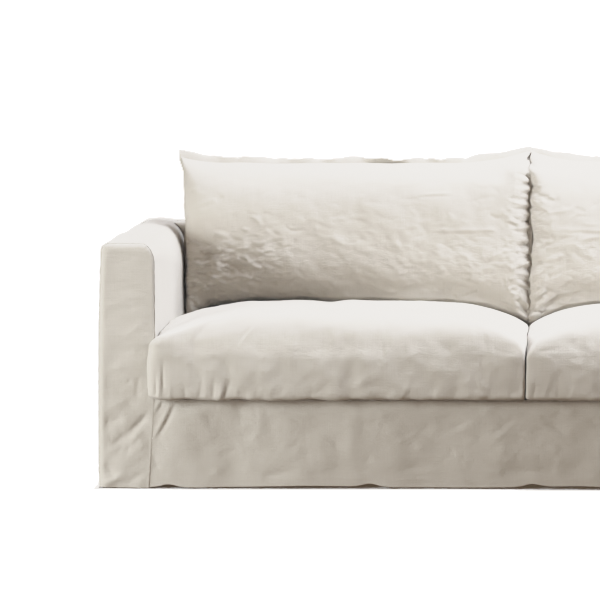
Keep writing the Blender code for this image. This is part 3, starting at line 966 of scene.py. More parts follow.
def plain(name, colour, roughness):
    material = bpy.data.materials.new(name)
    material.use_nodes = True
    tree = material.node_tree
    shader = tree.nodes["Principled BSDF"]
    shader.inputs["Base Color"].default_value = colour
    shader.inputs["Roughness"].default_value = roughness
    return material


# ---------------------------------------------------------------- cover panels


def seam_pucker(distance, along, seed, depth=0.0012):
    """The cloth dips where it is sewn, and puckers every one to two centimetres beside the seam."""
    wave = np.sin(along * 2 * math.pi / 0.016 + 2.2 * np.sin(along * 31.0 + seed) + seed)
    dip = -depth * np.exp(-((distance / 0.003) ** 2))
    pucker = 0.0005 * wave * np.exp(-((distance / 0.009) ** 2))
    return dip + pucker


def arm_wrap(side, material):
    """The strip that runs up the outside of an arm, over its top and down its inside."""
    start_y, end_y = FRONT_Y, BACK_Y - CLOTH - SEAM_GAP
    y = mix(start_y, end_y, crowded(84, 0.35))[:, None]
    inner_width, inner_height = inner_shoulder(y)
    wall_top = TOP_Z - OUTER_SHOULDER
    hem = hem_z(y, SIDE_LIFTS_Y)
    ones = np.ones_like(y)

    wall_z = mix(hem, wall_top, np.linspace(0, 1, 58)[None, :])
    edge_fade = smooth_step((y - FRONT_Y) / 0.12) * smooth_step((BACK_Y - y) / 0.12)
    wall_places = np.stack((y * np.ones_like(wall_z), wall_z), -1)
    folds = crease_heights(wall_places, ARM_SIDE_FOLDS, no_fade, FOLD_SHARPNESS)
    wall_x = -outer_x(wall_z) - edge_fade * folds

    shoulder_x = -outer_x(wall_top) + OUTER_SHOULDER
    turn = np.radians(np.linspace(180, 90, 11)[1:])[None, :]
    outer_arc_x = (shoulder_x + OUTER_SHOULDER * np.cos(turn)) * ones
    outer_arc_z = (wall_top + OUTER_SHOULDER * np.sin(turn)) * ones

    share = np.linspace(0, 1, 13)[None, 1:]
    top_x = mix(shoulder_x, -INNER_X - inner_width, share)
    top_z = TOP_Z + ARM_CROWN * np.sin(math.pi * share) * smooth_step((y - FRONT_Y) / 0.05)

    turn = np.radians(np.linspace(90, 0, 19)[1:])[None, :]
    inner_arc_x = -INNER_X - inner_width + inner_width * np.cos(turn)
    inner_arc_z = TOP_Z - inner_height + inner_height * np.sin(turn)

    down = np.linspace(0, 1, 33)[None, 1:]
    inner_z = mix(TOP_Z - inner_height, DECK_Z + SEAM_GAP, down)
    inner_x = -INNER_X * np.ones_like(inner_z)

    x = np.concatenate((wall_x, outer_arc_x, top_x, inner_arc_x, inner_x), axis=1)
    z = np.concatenate((wall_z, outer_arc_z, top_z, inner_arc_z, inner_z), axis=1)
    start = FRONT_Y + roll_radius(x) + SEAM_GAP / 4
    y = mix(start, end_y, (y - start_y) / (end_y - start_y))
    points = np.stack((x, y, z), -1)

    normals = -grid_normals(points)
    seed = 3 if side == "left" else 8
    soft = undulation(points, 0.30, seed, (1, 1, 1.6)) * 0.0016 + undulation(points, 0.11, seed + 1) * 0.0005
    hemmed = np.where(z < 0.3, hem_ridge(z - hem), 0.0) * (x < -INNER_X - 0.08)
    lengths = path_lengths(points, 1)
    front_seam = seam_pucker(y - start, lengths, seed, 0.0)
    rear_seam = seam_pucker(end_y - y, lengths, seed + 2)
    points = points + normals * (soft * edge_fade + front_seam + rear_seam + hemmed)[..., None]
    if side == "right":
        points[..., 0] = -points[..., 0]
    return cloth_sheet(f"arm_{side}_wrap.linen", points, material, flip=side == "left")


def hem_ridge(height):
    """The turned-up hem is doubled: a step at its stitching, just above the bottom edge."""
    step = 0.0006 * smooth_step((HEM_ALLOWANCE - height) / 0.004)
    stitching = -0.0005 * np.exp(-(((height - HEM_ALLOWANCE + 0.002) / 0.0022) ** 2))
    return step + stitching


def arm_front(side, material):
    """The narrow front panel of an arm: rounded at its two top corners and curled back at its edges."""
    sign = -1 if side == "left" else 1
    radius, height = INNER_SHOULDER_FRONT
    straight_top = TOP_Z - height
    share, v = np.meshgrid(crowded(42, 0.6), np.linspace(0, 1, 133))
    straight_share = 0.80
    hem = hem_z(mix(OUTER_X, INNER_X, share), ())
    z = mix(hem, straight_top, np.minimum(1.0, v / straight_share))
    z = z + height * np.sin(math.pi / 2 * np.maximum(0.0, v - straight_share) / (1 - straight_share))
    inner = front_seam_x(z) + SEAM_GAP / 4 + quarter_round(z - straight_top, radius, height)
    outer = outer_x(z) - quarter_round(z - TOP_Z + OUTER_SHOULDER, OUTER_SHOULDER, OUTER_SHOULDER)
    distance = mix(outer, inner, share)

    inner_corner = quarter_round(INNER_X + radius - distance, height, radius)
    outer_corner = quarter_round(distance - outer_x(TOP_Z) + OUTER_SHOULDER, OUTER_SHOULDER, OUTER_SHOULDER)
    to_top = TOP_Z - np.maximum(inner_corner, outer_corner) - z
    to_side = np.minimum(outer - distance, distance - inner)
    to_edge = 1 / np.sqrt(1 / np.maximum(to_side, 1e-6) ** 2 + 1 / np.maximum(to_top, 1e-6) ** 2)
    sewn_flat = smooth_step((DECK_Z + 0.004 - z) / 0.012) * smooth_step((INNER_X + 0.035 - distance) / 0.03)
    roll = mix(roll_radius(distance), SEWN_ROLL, sewn_flat)
    turned = 1 - np.minimum(to_edge, roll) / roll
    y = FRONT_Y + roll * (1 - np.sqrt(1 - turned**2))

    x = sign * distance
    points = np.stack((x, y, z), -1)
    away = smooth_step(to_edge / 0.030)
    folds = crease_heights(np.stack((x, z), -1), ARM_FRONT_FOLDS[side], no_fade, FOLD_SHARPNESS) * 0.5
    creases = list(ARM_FRONT_CREASES) + crumples(ARM_FRONT_PATCHES, 41)
    creases = creases if side == "left" else mirrored(creases)
    creased = CREASE_DEPTH * crease_heights(picture_places(points), creases)
    seed = 21 if side == "left" else 27
    soft = undulation(points, 0.20, seed, (1, 1, 2)) * 0.0022 + undulation(points, 0.07, seed + 1) * 0.0009
    near_seam = smooth_step(1 - (distance - inner) / 0.010) * smooth_step((DECK_Z + 0.03 - z) / 0.03)
    lapped = 0.0004 * near_seam
    outwards = away * (folds + soft) + smooth_step(to_edge / 0.012) * creased + hem_ridge(z - hem)
    outwards += lapped + seam_pucker(to_edge, z + distance, seed, 0.0)
    points[..., 1] -= outwards
    return cloth_sheet(f"arm_{side}_front.linen", points, material, flip=side == "right")


def apron(material):
    """The panel that hangs from the deck's front edge to the floor, between the front seams."""
    top = DECK_Z - CLOTH - SEAM_GAP
    u, v = np.meshgrid(crowded(330, 0.12), crowded_at_end(np.linspace(0, 1, 52), (0.02, 0.008, 0.003)))
    along = mix(-1.0, 1.0, u)
    hem = hem_z(along * INNER_X, APRON_LIFTS_X) + np.interp(along, APRON_HEM_X, APRON_HEM_RISE)
    z = mix(hem, top, v)
    half_width = front_seam_x(z) - SEAM_GAP / 4
    x = along * half_width
    points = np.stack((x, np.full_like(x, FRONT_Y), z), -1)
    to_seam = half_width - np.abs(x)
    away = smooth_step(to_seam / 0.06)
    hanging = smooth_step((top - z) / 0.05)
    folds = crease_heights(np.stack((x, z), -1), APRON_FOLDS, no_fade, FOLD_SHARPNESS) * 0.6
    creases = list(APRON_CREASES) + crumples(APRON_PATCHES, 43)
    creases += mirrored(creases)
    creased = CREASE_DEPTH * crease_heights(picture_places(points), creases)
    soft = undulation(points, 0.26, 31, (1, 1, 1.5)) * 0.0026 + undulation(points, 0.09, 32) * 0.0009
    creased = smooth_step(to_seam / 0.010) * creased * smooth_step((top - z) / 0.012)
    outwards = away * hanging * (folds + soft) + creased
    outwards += hem_ridge(z - hem) + seam_pucker(to_seam, z, 5.0, -0.0004)
    tucked = np.clip((z - top + APRON_TUCK_HEIGHT) / APRON_TUCK_HEIGHT, 0, 1)
    hang_back = mix(*APRON_HANG_BACK, smooth_step((1 - np.abs(x - 0.1)) / 0.9))
    hang_back = hang_back * smooth_step((0.10 - z) / 0.10) ** 2
    points[..., 1] += APRON_TUCK * (1 - np.sqrt(1 - tucked**2)) + hang_back - outwards
    return cloth_sheet("apron.linen", points, material)


def deck(material):
    """The flat panel under the seat cushions."""
    half_width = INNER_X - SEAM_GAP
    front, rear = FRONT_Y + CLOTH + SEAM_GAP, BACK_FACE_Y - SEAM_GAP
    x, y = np.meshgrid(np.linspace(-half_width, half_width, 61), np.linspace(front, rear, 27))
    points = np.stack((x, y, np.full_like(x, DECK_Z)), -1)
    return cloth_sheet("deck.linen", points, material)


def inside_back(material):
    """The panel that rises from the deck behind the cushions and turns over the top of the back."""
    radius = 0.014
    rear = BACK_Y - CLOTH - SEAM_GAP
    bend_z = TOP_Z - radius
    turn = np.radians(np.linspace(180, 90, 9)[1:])
    wall_z = np.linspace(DECK_Z + SEAM_GAP, bend_z, 34)
    top_y = np.linspace(BACK_FACE_Y + radius, rear, 9)[1:]
    turn_y = BACK_FACE_Y + radius + radius * np.cos(turn)
    path_y = np.concatenate((np.full_like(wall_z, BACK_FACE_Y), turn_y, top_y))
    path_z = np.concatenate((wall_z, bend_z + radius * np.sin(turn), np.full_like(top_y, TOP_Z)))
    u = np.linspace(-1, 1, 141)[None, :]
    y, z = path_y[:, None] * np.ones_like(u), path_z[:, None] * np.ones_like(u)
    width, height = INNER_SHOULDER_BACK
    drawn_in = quarter_round(z - 0.006 - (TOP_Z - height), width, height)
    x = u * (INNER_X - SEAM_GAP + drawn_in)
    points = np.stack((x, y, z), -1)
    soft = undulation(points, 0.30, 41) * 0.0010 * smooth_step((1 - np.abs(u)) / 0.05)
    to_rear = rear - y
    sunk = seam_pucker(np.where(z > bend_z, to_rear, 1.0), x, 4.0)
    points = points + grid_normals(points) * (np.minimum(soft, 0.0) + sunk)[..., None]
    return cloth_sheet("inside_back.linen", points, material)


def outside_back(material):
    """The upright panel across the whole back, rounded at its two top corners."""
    straight_top = TOP_Z - OUTER_SHOULDER
    straight_share = 0.86
    u, v = np.meshgrid(crowded(190, 0.2), np.linspace(0, 1, 58))
    along = mix(1.0, -1.0, u)
    hem = hem_z(along * OUTER_X, OUTSIDE_BACK_LIFTS_X)
    z = mix(hem, straight_top, np.minimum(1.0, v / straight_share))
    z = z + OUTER_SHOULDER * np.sin(math.pi / 2 * np.maximum(0.0, v - straight_share) / (1 - straight_share))
    half_width = outer_x(z) - quarter_round(z - straight_top, OUTER_SHOULDER, OUTER_SHOULDER)
    x = along * half_width
    points = np.stack((x, np.full_like(x, BACK_Y), z), -1)
    to_edge = np.minimum(half_width - np.abs(x), TOP_Z - z)
    away = smooth_step(to_edge / 0.06)
    folds = crease_heights(np.stack((x, z), -1), OUTSIDE_BACK_FOLDS, no_fade, FOLD_SHARPNESS)
    soft = undulation(points, 0.30, 51, (1, 1, 2.2)) * 0.0030 + undulation(points, 0.10, 52) * 0.0010
    points[..., 1] += away * (folds + soft) + hem_ridge(z - hem) + seam_pucker(to_edge, x + z, 2.0, 0.0016)
    return cloth_sheet("outside_back.linen", points, material)


# ---------------------------------------------------------------- cushions


def box_shell(across, deep, high):
    """Corners and squares of a box's surface, in a lattice from -1 to 1, and which face each square is on."""
    index = {}
    corners, squares, faces = [], [], []

    def corner(i, j, k):
        key = (i, j, k)
        if key not in index:
            index[key] = len(corners)
            corners.append(key)
        return index[key]

    def side(name, steps_a, steps_b, place):
        for a in range(steps_a):
            for b in range(steps_b):
                squares.append([corner(*place(a + p, b + q)) for p, q in ((0, 0), (1, 0), (1, 1), (0, 1))])
                faces.append(name)

    side("front", across, high, lambda a, b: (a, 0, b))
    side("rear", high, across, lambda a, b: (b, deep, a))
    side("top", across, deep, lambda a, b: (a, b, high))
    side("bottom", deep, across, lambda a, b: (b, a, 0))
    side("left", high, deep, lambda a, b: (0, b, a))
    side("right", deep, high, lambda a, b: (across, a, b))
    lattice = np.array(corners, dtype=float) / np.array((across, deep, high)) * 2 - 1
    return lattice, np.array(squares), np.array(faces)


def seat_points(side, lattice):
    """The seat cushion's form at the lattice's corners: soft edges, a crown and a bulging front corner."""
    sign = -1 if side == "left" else 1
    half_width = (INNER_X - CLEARANCE - SEAT_HALF_GAP) / 2
    centre_x = sign * (INNER_X - CLEARANCE + SEAT_HALF_GAP) / 2
    front, rear = FRONT_Y - SEAT_OVERHANG, BACK_FACE_Y - CLEARANCE
    centre_y, half_depth = (front + rear) / 2, (rear - front) / 2
    a = np.sin(lattice[:, 0] * math.pi / 2) * 0.55 + lattice[:, 0] * 0.45
    rows_y = (front, front + 0.009, front + SEAT_CORNER_RADIUS["arm"], FRONT_Y - 0.005)
    rows_y += SEAT_ROWS_Y + (rear - 0.026, rear)
    b = (np.interp(lattice[:, 1], np.linspace(-1, 1, len(rows_y)), rows_y) - centre_y) / half_depth
    level = (lattice[:, 2] + 1) / 2

    outward = np.maximum(np.maximum(np.abs(a), np.abs(b)), 1e-6)
    weight_x, weight_y = (np.abs(a) / outward) ** 6, (np.abs(b) / outward) ** 6
    at_arm = a * sign > 0
    seam_radius = mix(SEAT_SEAM_RADIUS, SEAT_EDGE_RADIUS["middle"], smooth_step((b + 0.6) / 0.9))
    beside = np.where(at_arm, SEAT_EDGE_RADIUS["arm"], seam_radius)
    front_end = np.where(at_arm, SEAT_END_RADIUS["arm"], SEAT_END_RADIUS["middle"])
    front_edge = mix(SEAT_EDGE_RADIUS["front"], front_end, smooth_step((np.abs(a) - 0.78) / 0.22))
    along = np.where(b < 0, front_edge, SEAT_EDGE_RADIUS["rear"])
    radius = (beside * weight_x + along * weight_y) / (weight_x + weight_y)

    bottom = DECK_Z + SEAM_GAP
    below_wall = level < SEAT_WALL_STARTS
    low_turn = np.clip(level / SEAT_WALL_STARTS, 0, 1) * math.pi / 2
    high_turn = np.clip((level - SEAT_WALL_ENDS) / (1 - SEAT_WALL_ENDS), 0, 1) * math.pi / 2
    wall = np.clip((level - SEAT_WALL_STARTS) / (SEAT_WALL_ENDS - SEAT_WALL_STARTS), 0, 1)
    low_inset = SEAT_BOTTOM_RADIUS * (1 - np.sin(low_turn))
    inset = np.where(below_wall, low_inset, radius * (1 - np.cos(high_turn)))
    radius = np.minimum(radius, SEAT_EDGE_Z - bottom - SEAT_BOTTOM_RADIUS)
    wall_low, wall_high = bottom + SEAT_BOTTOM_RADIUS, SEAT_EDGE_Z - radius
    low_z = bottom + SEAT_BOTTOM_RADIUS * (1 - np.cos(low_turn))
    z = np.where(below_wall, low_z, mix(wall_low, wall_high, wall))
    z = np.where(level > SEAT_WALL_ENDS, SEAT_EDGE_Z - radius * (1 - np.sin(high_turn)), z)

    beside_inset = np.where(below_wall & ~at_arm, 0.3 * inset, inset)
    reach = np.stack((half_width - beside_inset, half_depth - inset), -1)
    point = np.stack((a, b), -1) * reach
    corner = np.where(at_arm, SEAT_CORNER_RADIUS["arm"], SEAT_CORNER_RADIUS["middle"])[:, None]
    core = np.clip(point, corner - reach, reach - corner)
    beyond = point - core
    length = np.linalg.norm(beyond, axis=1)
    longest = np.abs(beyond).max(axis=1)
    point = core + beyond * (longest / np.maximum(length, 1e-9))[:, None]

    x, y = centre_x + point[:, 0], centre_y + point[:, 1]
    share_of_height = (z - DECK_Z) / (SEAT_EDGE_Z - DECK_Z)
    z = z + (seat_crown(np.abs(x), y) + seat_waves(x, y)) * smooth_step(share_of_height)
    at_arm = smooth_step((np.abs(x) - 0.90) / 0.08) * smooth_step((0.12 - y) / 0.25)
    z = z + SEAT_ARM_LIFT * at_arm * smooth_step(share_of_height)
    foot_rise = np.interp(np.abs(x), SEAT_FOOT_X, SEAT_FOOT_RISE) * smooth_step((FRONT_Y - y) / 0.03)
    z = z + foot_rise * smooth_step(1 - share_of_height)
    ear = smooth_step((FRONT_Y - 0.004 - y) / 0.012)
    ear = ear * smooth_step((np.abs(x) - 0.5 * INNER_X) / (0.4 * INNER_X))
    x = x + sign * ear * np.interp(z, SEAT_EAR_Z, SEAT_EAR_X)
    return np.stack((x + seat_seam(x, y, z), y, z), -1)


def seat_seam(x, y, z):
    """How far sideways the seam between the two seats has moved, beside these points."""
    lean = np.interp(z, SEAT_SEAM_Z, SEAT_SEAM_X) + 0.0006 * np.sin(z * 120.0)
    return lean * np.exp(-np.abs(x) / 0.06) * smooth_step((-0.10 - y) / 0.20)


def shell_cloth_places(points, squares, faces):
    """Where each square's corners lie on the seat cover's cloth: each side of the box is its own piece."""
    places = np.empty((len(squares), 4, 2))
    corner = points[squares]
    pairs = {("top", "bottom"): (0, 1), ("front", "rear"): (0, 2), ("left", "right"): (1, 2)}
    for names, (first, second) in pairs.items():
        chosen = np.isin(faces, names)
        places[chosen, :, 0] = corner[chosen][:, :, first]
        places[chosen, :, 1] = corner[chosen][:, :, second]
    return places


def seat_cushion(side, material):
    """A filled seat cushion in a loose cover, gathered where it is sewn along the bottom front."""
    sign = -1 if side == "left" else 1
    lattice, squares, faces = box_shell(*SEAT_GRID)
    form = seat_points(side, lattice)
    centre = np.array((sign * INNER_X / 2, (FRONT_Y + BACK_FACE_Y) / 2, (DECK_Z + SEAT_EDGE_Z) / 2))
    cut = centre + (form - centre) * np.array((1.022, 1.0, 1.03))
    seam = (np.abs(lattice[:, 2] + 0.76) < 0.06) & (np.abs(lattice[:, 1]) > 0.99)
    cut[seam] = centre + (form[seam] - centre) * np.array((0.985, 1.0, 1.0))
    moved = simulated(f"seat {side}", form, squares, cut) - form
    fine_moves = moved - spread_out(moved, squares, 12)
    points = form + capped(fine_moves, 0.006) * 0.35

    cushion = new_mesh(f"seat_cushion_{side}.linen", points, squares)
    layer = cushion.data.uv_layers.new(name="cloth")
    places = shell_cloth_places(form, squares, faces)
    layer.data.foreach_set("uv", places.astype(np.float32).ravel())
    halve_squares(cushion)

    points, normals = points_of(cushion.data), normals_of(cushion.data)
    places = picture_places(points)
    facing = smooth_step(-normals[:, 1] / 0.35)
    patches = SEAT_PATCHES if side == "left" else mirrored_patches(SEAT_PATCHES)
    creases = list(SEAT_CREASES[side]) + crumples(patches, 61 if side == "left" else 67)
    gathers = list(SEAT_GATHERS[side])
    if side == "right":
        creases += [crease for crease in mirrored(SEAT_CREASES["left"]) if crease.x > 600]
        gathers += [gather for gather in mirrored(SEAT_GATHERS["left"]) if gather.x > 600]
    pressed = CREASE_DEPTH * crease_heights(places, creases)
    pressed += GATHER_DEPTH * crease_heights(places, gathers, fade_away, GATHER_SHARPNESS)
    outwards = facing * pressed
    lying = smooth_step(normals[:, 2] / 0.5)
    seed = 71 if side == "left" else 77
    open_top = lying * smooth_step((0.10 - points[:, 1]) / 0.12)
    outwards += open_top * waves(points, seed, (0.16, 0.0022), (0.06, 0.0006))
    outwards += (1 - lying) * waves(points, seed + 2, (0.09, 0.0015), (0.045, 0.0007))
    points = points + normals * outwards[:, None]
    x, y, z = points.T
    seam = seat_seam(x, y, z)
    x = seam + sign * np.maximum(sign * (x - seam), 0.0005)
    set_points(cushion.data, np.stack((x, y, np.maximum(z, DECK_Z + SEAM_GAP)), -1))
    set_crushed(cushion.data, facing * crushed_share(places, mirrored_spots(side, SEAT_CRUSHED)))
    cushion.data.materials.append(material)
    return cushion


def spread_out(values, quads, passes):
    """Averages values with their neighbours along the edges of the squares, many times over."""
    first = quads.ravel()
    second = np.roll(quads, -1, axis=1).ravel()
    count = np.bincount(np.concatenate((first, second)), minlength=len(values))[:, None]
    for _ in range(passes):
        total = np.empty_like(values)
        for axis in range(values.shape[1]):
            column = values[:, axis]
            total[:, axis] = np.bincount(first, column[second], len(values))
            total[:, axis] += np.bincount(second, column[first], len(values))
        values = (values + total / np.maximum(count, 1)) / 2
    return values


def pillow_face(side, a, b, depth):
    """The back cushion's form at (a, b) from -1 to 1 across and up, to the seam line inside its flange."""
    sign = -1 if side == "left" else 1
    across, up = (a + 1) / 2, (b + 1) / 2
    near_arm = across if side == "right" else 1 - across
    ear = mix(PILLOW_EAR["middle"], PILLOW_EAR["arm"], near_arm) * np.abs(a) ** mix(4, 8, near_arm)
    foot = SEAT_EDGE_Z + seat_crown(mix(0.004, INNER_X - CLEARANCE, near_arm), PILLOW_FOOT_Y) + FOOT_CLEARANCE
    z = mix(foot + FLANGE["foot"], PILLOW_TOP_Z - FLANGE["top"] + ear, up)
    width, height = INNER_SHOULDER_BACK
    beside_arm = quarter_round(z - TOP_Z + height, width, height)
    beside_arm = np.minimum(beside_arm, PILLOW_REACH * smooth_step((z - 0.54) / 0.26))
    beside_arm = beside_arm + PILLOW_FLARE * smooth_step((z - 0.78) / 0.06)
    distance = mix(FLANGE["middle"] - FLANGE_LAP, INNER_X - CLEARANCE + beside_arm - FLANGE["arm"], near_arm)
    share = smooth_step(near_arm)
    ends = zip(PILLOW_FULLNESS["middle"], PILLOW_FULLNESS["arm"])
    power, root = (mix(at_middle, at_arm, share) for at_middle, at_arm in ends)
    upright = mix(PILLOW_UPRIGHT["middle"], PILLOW_UPRIGHT["arm"], share)
    bulge = np.maximum(0.0, 1 - np.abs(a) ** power) ** (1 / root)
    bulge = bulge * np.sqrt(np.maximum(0.0, 1 - np.abs(b) ** upright))
    if depth < 0:
        along_top = np.stack((sign * distance, 0 * z, 0 * z), -1)
        puff = 0.65 + 0.35 * undulation(along_top, 0.16, 81 if side == "left" else 87)
        z = z + TOP_PUFF * puff * smooth_step(bulge / 0.07) * (1 - bulge) ** 2 * smooth_step((b - 0.5) / 0.5)
    forward = SEAM_FORWARD * np.exp(-((distance / 0.06) ** 2)) * smooth_step((0.84 - z) / 0.05)
    foot_forward = FOOT_FORWARD * smooth_step((foot + 0.07 - z) / 0.06) * smooth_step((1 - near_arm) / 0.7)
    to_arm = INNER_X - CLEARANCE - distance
    arm_forward = ARM_SEAM_FORWARD * np.exp(-((to_arm / 0.05) ** 2)) * smooth_step((TOP_Z + 0.03 - z) / 0.09)
    forward = np.maximum(np.maximum(forward, foot_forward), arm_forward)
    seam_y = PILLOW_FOOT_Y + (z - SEAT_EDGE_Z) * math.tan(PILLOW_LEAN) - forward
    y = seam_y + (depth + forward) * bulge + sign * FLANGE_STEP * np.exp(-((distance / 0.020) ** 2))
    if depth < 0:
        rounding, width = GAP_ROUNDING[side]
        y = y + rounding * np.clip(1 - distance / width, 0, 1) ** 2 * smooth_step(bulge / 0.6)
        in_sight = SEAT_EDGE_Z + seat_crown(distance, 0.10) - FOOT_HIDDEN
        y = y + FOOT_UNDERCUT[1] * np.clip((in_sight + FOOT_UNDERCUT[0] - z) / FOOT_UNDERCUT[0], 0, 1) ** 2
    x = sign * distance + gap_wander(y, z) * np.exp(-distance / 0.025)
    return np.stack((x, y, z), -1)


def gap_wander(y, z):
    """The seam between the two back cushions snakes a little, so nothing shows through it."""
    return 0.0014 * np.sin(z * 62.0 + 1.2 * np.sin(z * 23.0)) + 0.0042 * np.sin((y - PILLOW_FOOT_Y) * 95.0)


def crowded_at_end(steps, last):
    """Steps up to 1 whose last ones are that near to 1."""
    return np.concatenate((steps[steps < 1 - 1.5 * last[0]], 1 - np.array(last), (1.0,)))


def with_flange(side, face, depth_sign):
    """Adds the flange round a face: flat rings outside its seam, which close on the other face at the tip."""
    rows, columns = face.shape[:2]
    rings = FLANGE_RINGS
    row = np.arange(-rings, rows + rings)
    column = np.arange(-rings, columns + rings)
    inner_row, inner_column = np.clip(row, 0, rows - 1), np.clip(column, 0, columns - 1)
    points = face[inner_row][:, inner_column].copy()
    out_row, out_column = (row - inner_row) / rings, (column - inner_column) / rings
    up = np.where(out_row > 0, out_row * FLANGE["top"], out_row * FLANGE["foot"])[:, None]
    to_right = FLANGE["arm"] if side == "right" else FLANGE["middle"]
    to_left = FLANGE["arm"] if side == "left" else FLANGE["middle"]
    sideways = np.where(out_column > 0, out_column * to_right, out_column * to_left)[None, :]
    reach = np.maximum(np.abs(out_row)[:, None], np.abs(out_column)[None, :])

    places = picture_places(points)
    seed = 83 if side == "left" else 89
    wavy = waves(points * (1, 0, 1), seed, (0.10, 0.0045), (0.035, 0.0012))
    height = 1 + 0.18 * undulation(points * (1, 0, 1), 0.08, seed + 2)
    for place in FLANGE_PINCHES:
        place = place if side == "left" else 2 * FLANGES_MEET - place
        height = height - 0.28 * np.exp(-(((places[..., 0] - place) / 2.2) ** 2))
    at_top = np.maximum(0.0, out_row)[:, None]
    lean = np.zeros_like(wavy)
    for place, half_width, forward in FLANGE_LEANS:
        place = place if side == "left" else 2 * FLANGES_MEET - place
        lean -= forward * MILLIMETRE * np.exp(-(((places[..., 0] - place) / half_width) ** 4))
    height = height - FLANGE_SAG * np.clip(-lean / FLANGE_FURTHEST_LEAN, 0, 1) ** 2
    points[..., 2] += up * np.where(at_top > 0, height, 1.0)
    points[..., 0] += sideways
    points[..., 1] += (wavy + lean + FLANGE_LEAN_BACK) * at_top**1.4
    points[..., 1] += depth_sign * 0.0012 * np.where(reach < 1, 1.0, 0.0)
    return points


def back_cushion(side, material):
    """A filled back cushion in a loose flanged cover, full in front of its seams and flatter behind them."""
    sign = -1 if side == "left" else 1
    columns, rows = PILLOW_GRID
    across = crowded_at_end(mix(-1, 1, crowded(columns, 0.4)), WALL_STEPS)
    across = across if side == "left" else -across[::-1]
    a, b = np.meshgrid(across, crowded_at_end(mix(-1, 1, crowded(rows, 0.4)), TOP_STEPS))
    front = pillow_face(side, a, b, -PILLOW_DEPTH)
    rear = pillow_face(side, a, b, PILLOW_DEPTH * PILLOW_REAR_SHARE)
    front_moves, rear_moves = pillow_moves(side, front, rear)
    front, rear = with_flange(side, front + front_moves, -1), with_flange(side, rear + rear_moves, 1)
    points, quads, _, rear_index = sewn_together(front, rear)

    lengths = np.stack((path_lengths(front, 1), path_lengths(front, 0)), -1)
    places = np.zeros((len(points), 2))
    places[rear_index.ravel()] = lengths.reshape(-1, 2)
    places[: front.shape[0] * front.shape[1]] = lengths.reshape(-1, 2)
    cushion = new_mesh(f"back_cushion_{side}.linen", points, quads, places)
    ring = np.ones(front.shape[:2])
    ring[FLANGE_RINGS:-FLANGE_RINGS, FLANGE_RINGS:-FLANGE_RINGS] = 0.0
    flange = np.zeros(len(points))
    flange[rear_index.ravel()] = ring.ravel()
    flange[: ring.size] = ring.ravel()
    marks = cushion.data.attributes.new("flange", "FLOAT", "POINT")
    marks.data.foreach_set("value", flange.astype(np.float32))
    halve_squares(cushion)
    marks = cushion.data.attributes["flange"]
    flange = np.empty(len(cushion.data.vertices), dtype=np.float32)
    marks.data.foreach_get("value", flange)
    cushion.data.attributes.remove(marks)
    flange = flange.astype(float)

    points, normals = points_of(cushion.data), normals_of(cushion.data)
    places = picture_places(points)
    facing = smooth_step(-normals[:, 1] / 0.30)
    patches = PILLOW_PATCHES if side == "left" else mirrored_patches(PILLOW_PATCHES)
    creases = list(PILLOW_CREASES[side]) + crumples(patches, 101 if side == "left" else 107)
    gathers = list(PILLOW_GATHERS[side])
    if side == "right":
        creases += [crease for crease in mirrored(PILLOW_CREASES["left"]) if crease.x > 600]
    pressed = CREASE_DEPTH * crease_heights(places, creases)
    pressed += PLEAT_DEPTH * crease_heights(places, gathers, fade_away, GATHER_SHARPNESS)
    outwards = facing * pressed
    seed = 111 if side == "left" else 117
    inside = smooth_step((0.80 - points[:, 2]) / 0.05)
    outwards += inside * waves(points, seed, (0.13, 0.0020), (0.05, 0.0006))
    flat = 1 - np.clip(flange, 0, 1)
    points = points + normals * (outwards * flat)[:, None]
    opening = np.zeros(len(points))
    for row, half_height, width in GAP_OPENINGS:
        opening += width * np.exp(-(((places[:, 1] - row) / half_height) ** 2))
    beside_gap = np.exp(-np.abs(points[:, 0]) / 0.010)
    points[:, 0] += sign * MILLIMETRE * GAP_OPENING_SHARE[side] * opening * flat * beside_gap
    points = clear_of_gap(side, points, flange)
    x, y, z = points.T
    seat_top = SEAT_EDGE_Z + seat_crown(np.abs(x), y) + seat_waves(x, y)
    points[:, 2] = np.maximum(z, seat_top + 0.0015)
    set_points(cushion.data, points)
    set_crushed(cushion.data, facing * flat * crushed_share(places, mirrored_spots(side, PILLOW_CRUSHED)))
    cushion.data.materials.append(material)
    return cushion


def clear_of_gap(side, points, flange):
    """Keeps each back cushion on its own side of the seam between the two, apart from the lapping flanges."""
    sign = -1 if side == "left" else 1
    x, y, z = points.T
    wander = gap_wander(y, z) * np.exp(-np.abs(x) / 0.025)
    nearest = np.where(flange > 0.05, -FLANGE_LAP - 0.0008, 0.0005)
    x = wander + sign * np.maximum(sign * (x - wander), nearest)
    return np.stack((x, y, z), -1)


def sewn_together(front, rear):
    """One closed surface of two grids that share their outermost ring of points."""
    rows, columns = front.shape[:2]
    front_index = np.arange(rows * columns).reshape(rows, columns)
    rear_index = front_index.copy()
    inner = np.arange((rows - 2) * (columns - 2)).reshape(rows - 2, columns - 2)
    rear_index[1:-1, 1:-1] = rows * columns + inner
    points = np.concatenate((front.reshape(-1, 3), rear[1:-1, 1:-1].reshape(-1, 3)))
    quads = grid_quads(rows, columns)
    return points, np.concatenate((quads, rear_index.ravel()[quads][:, ::-1])), front_index, rear_index


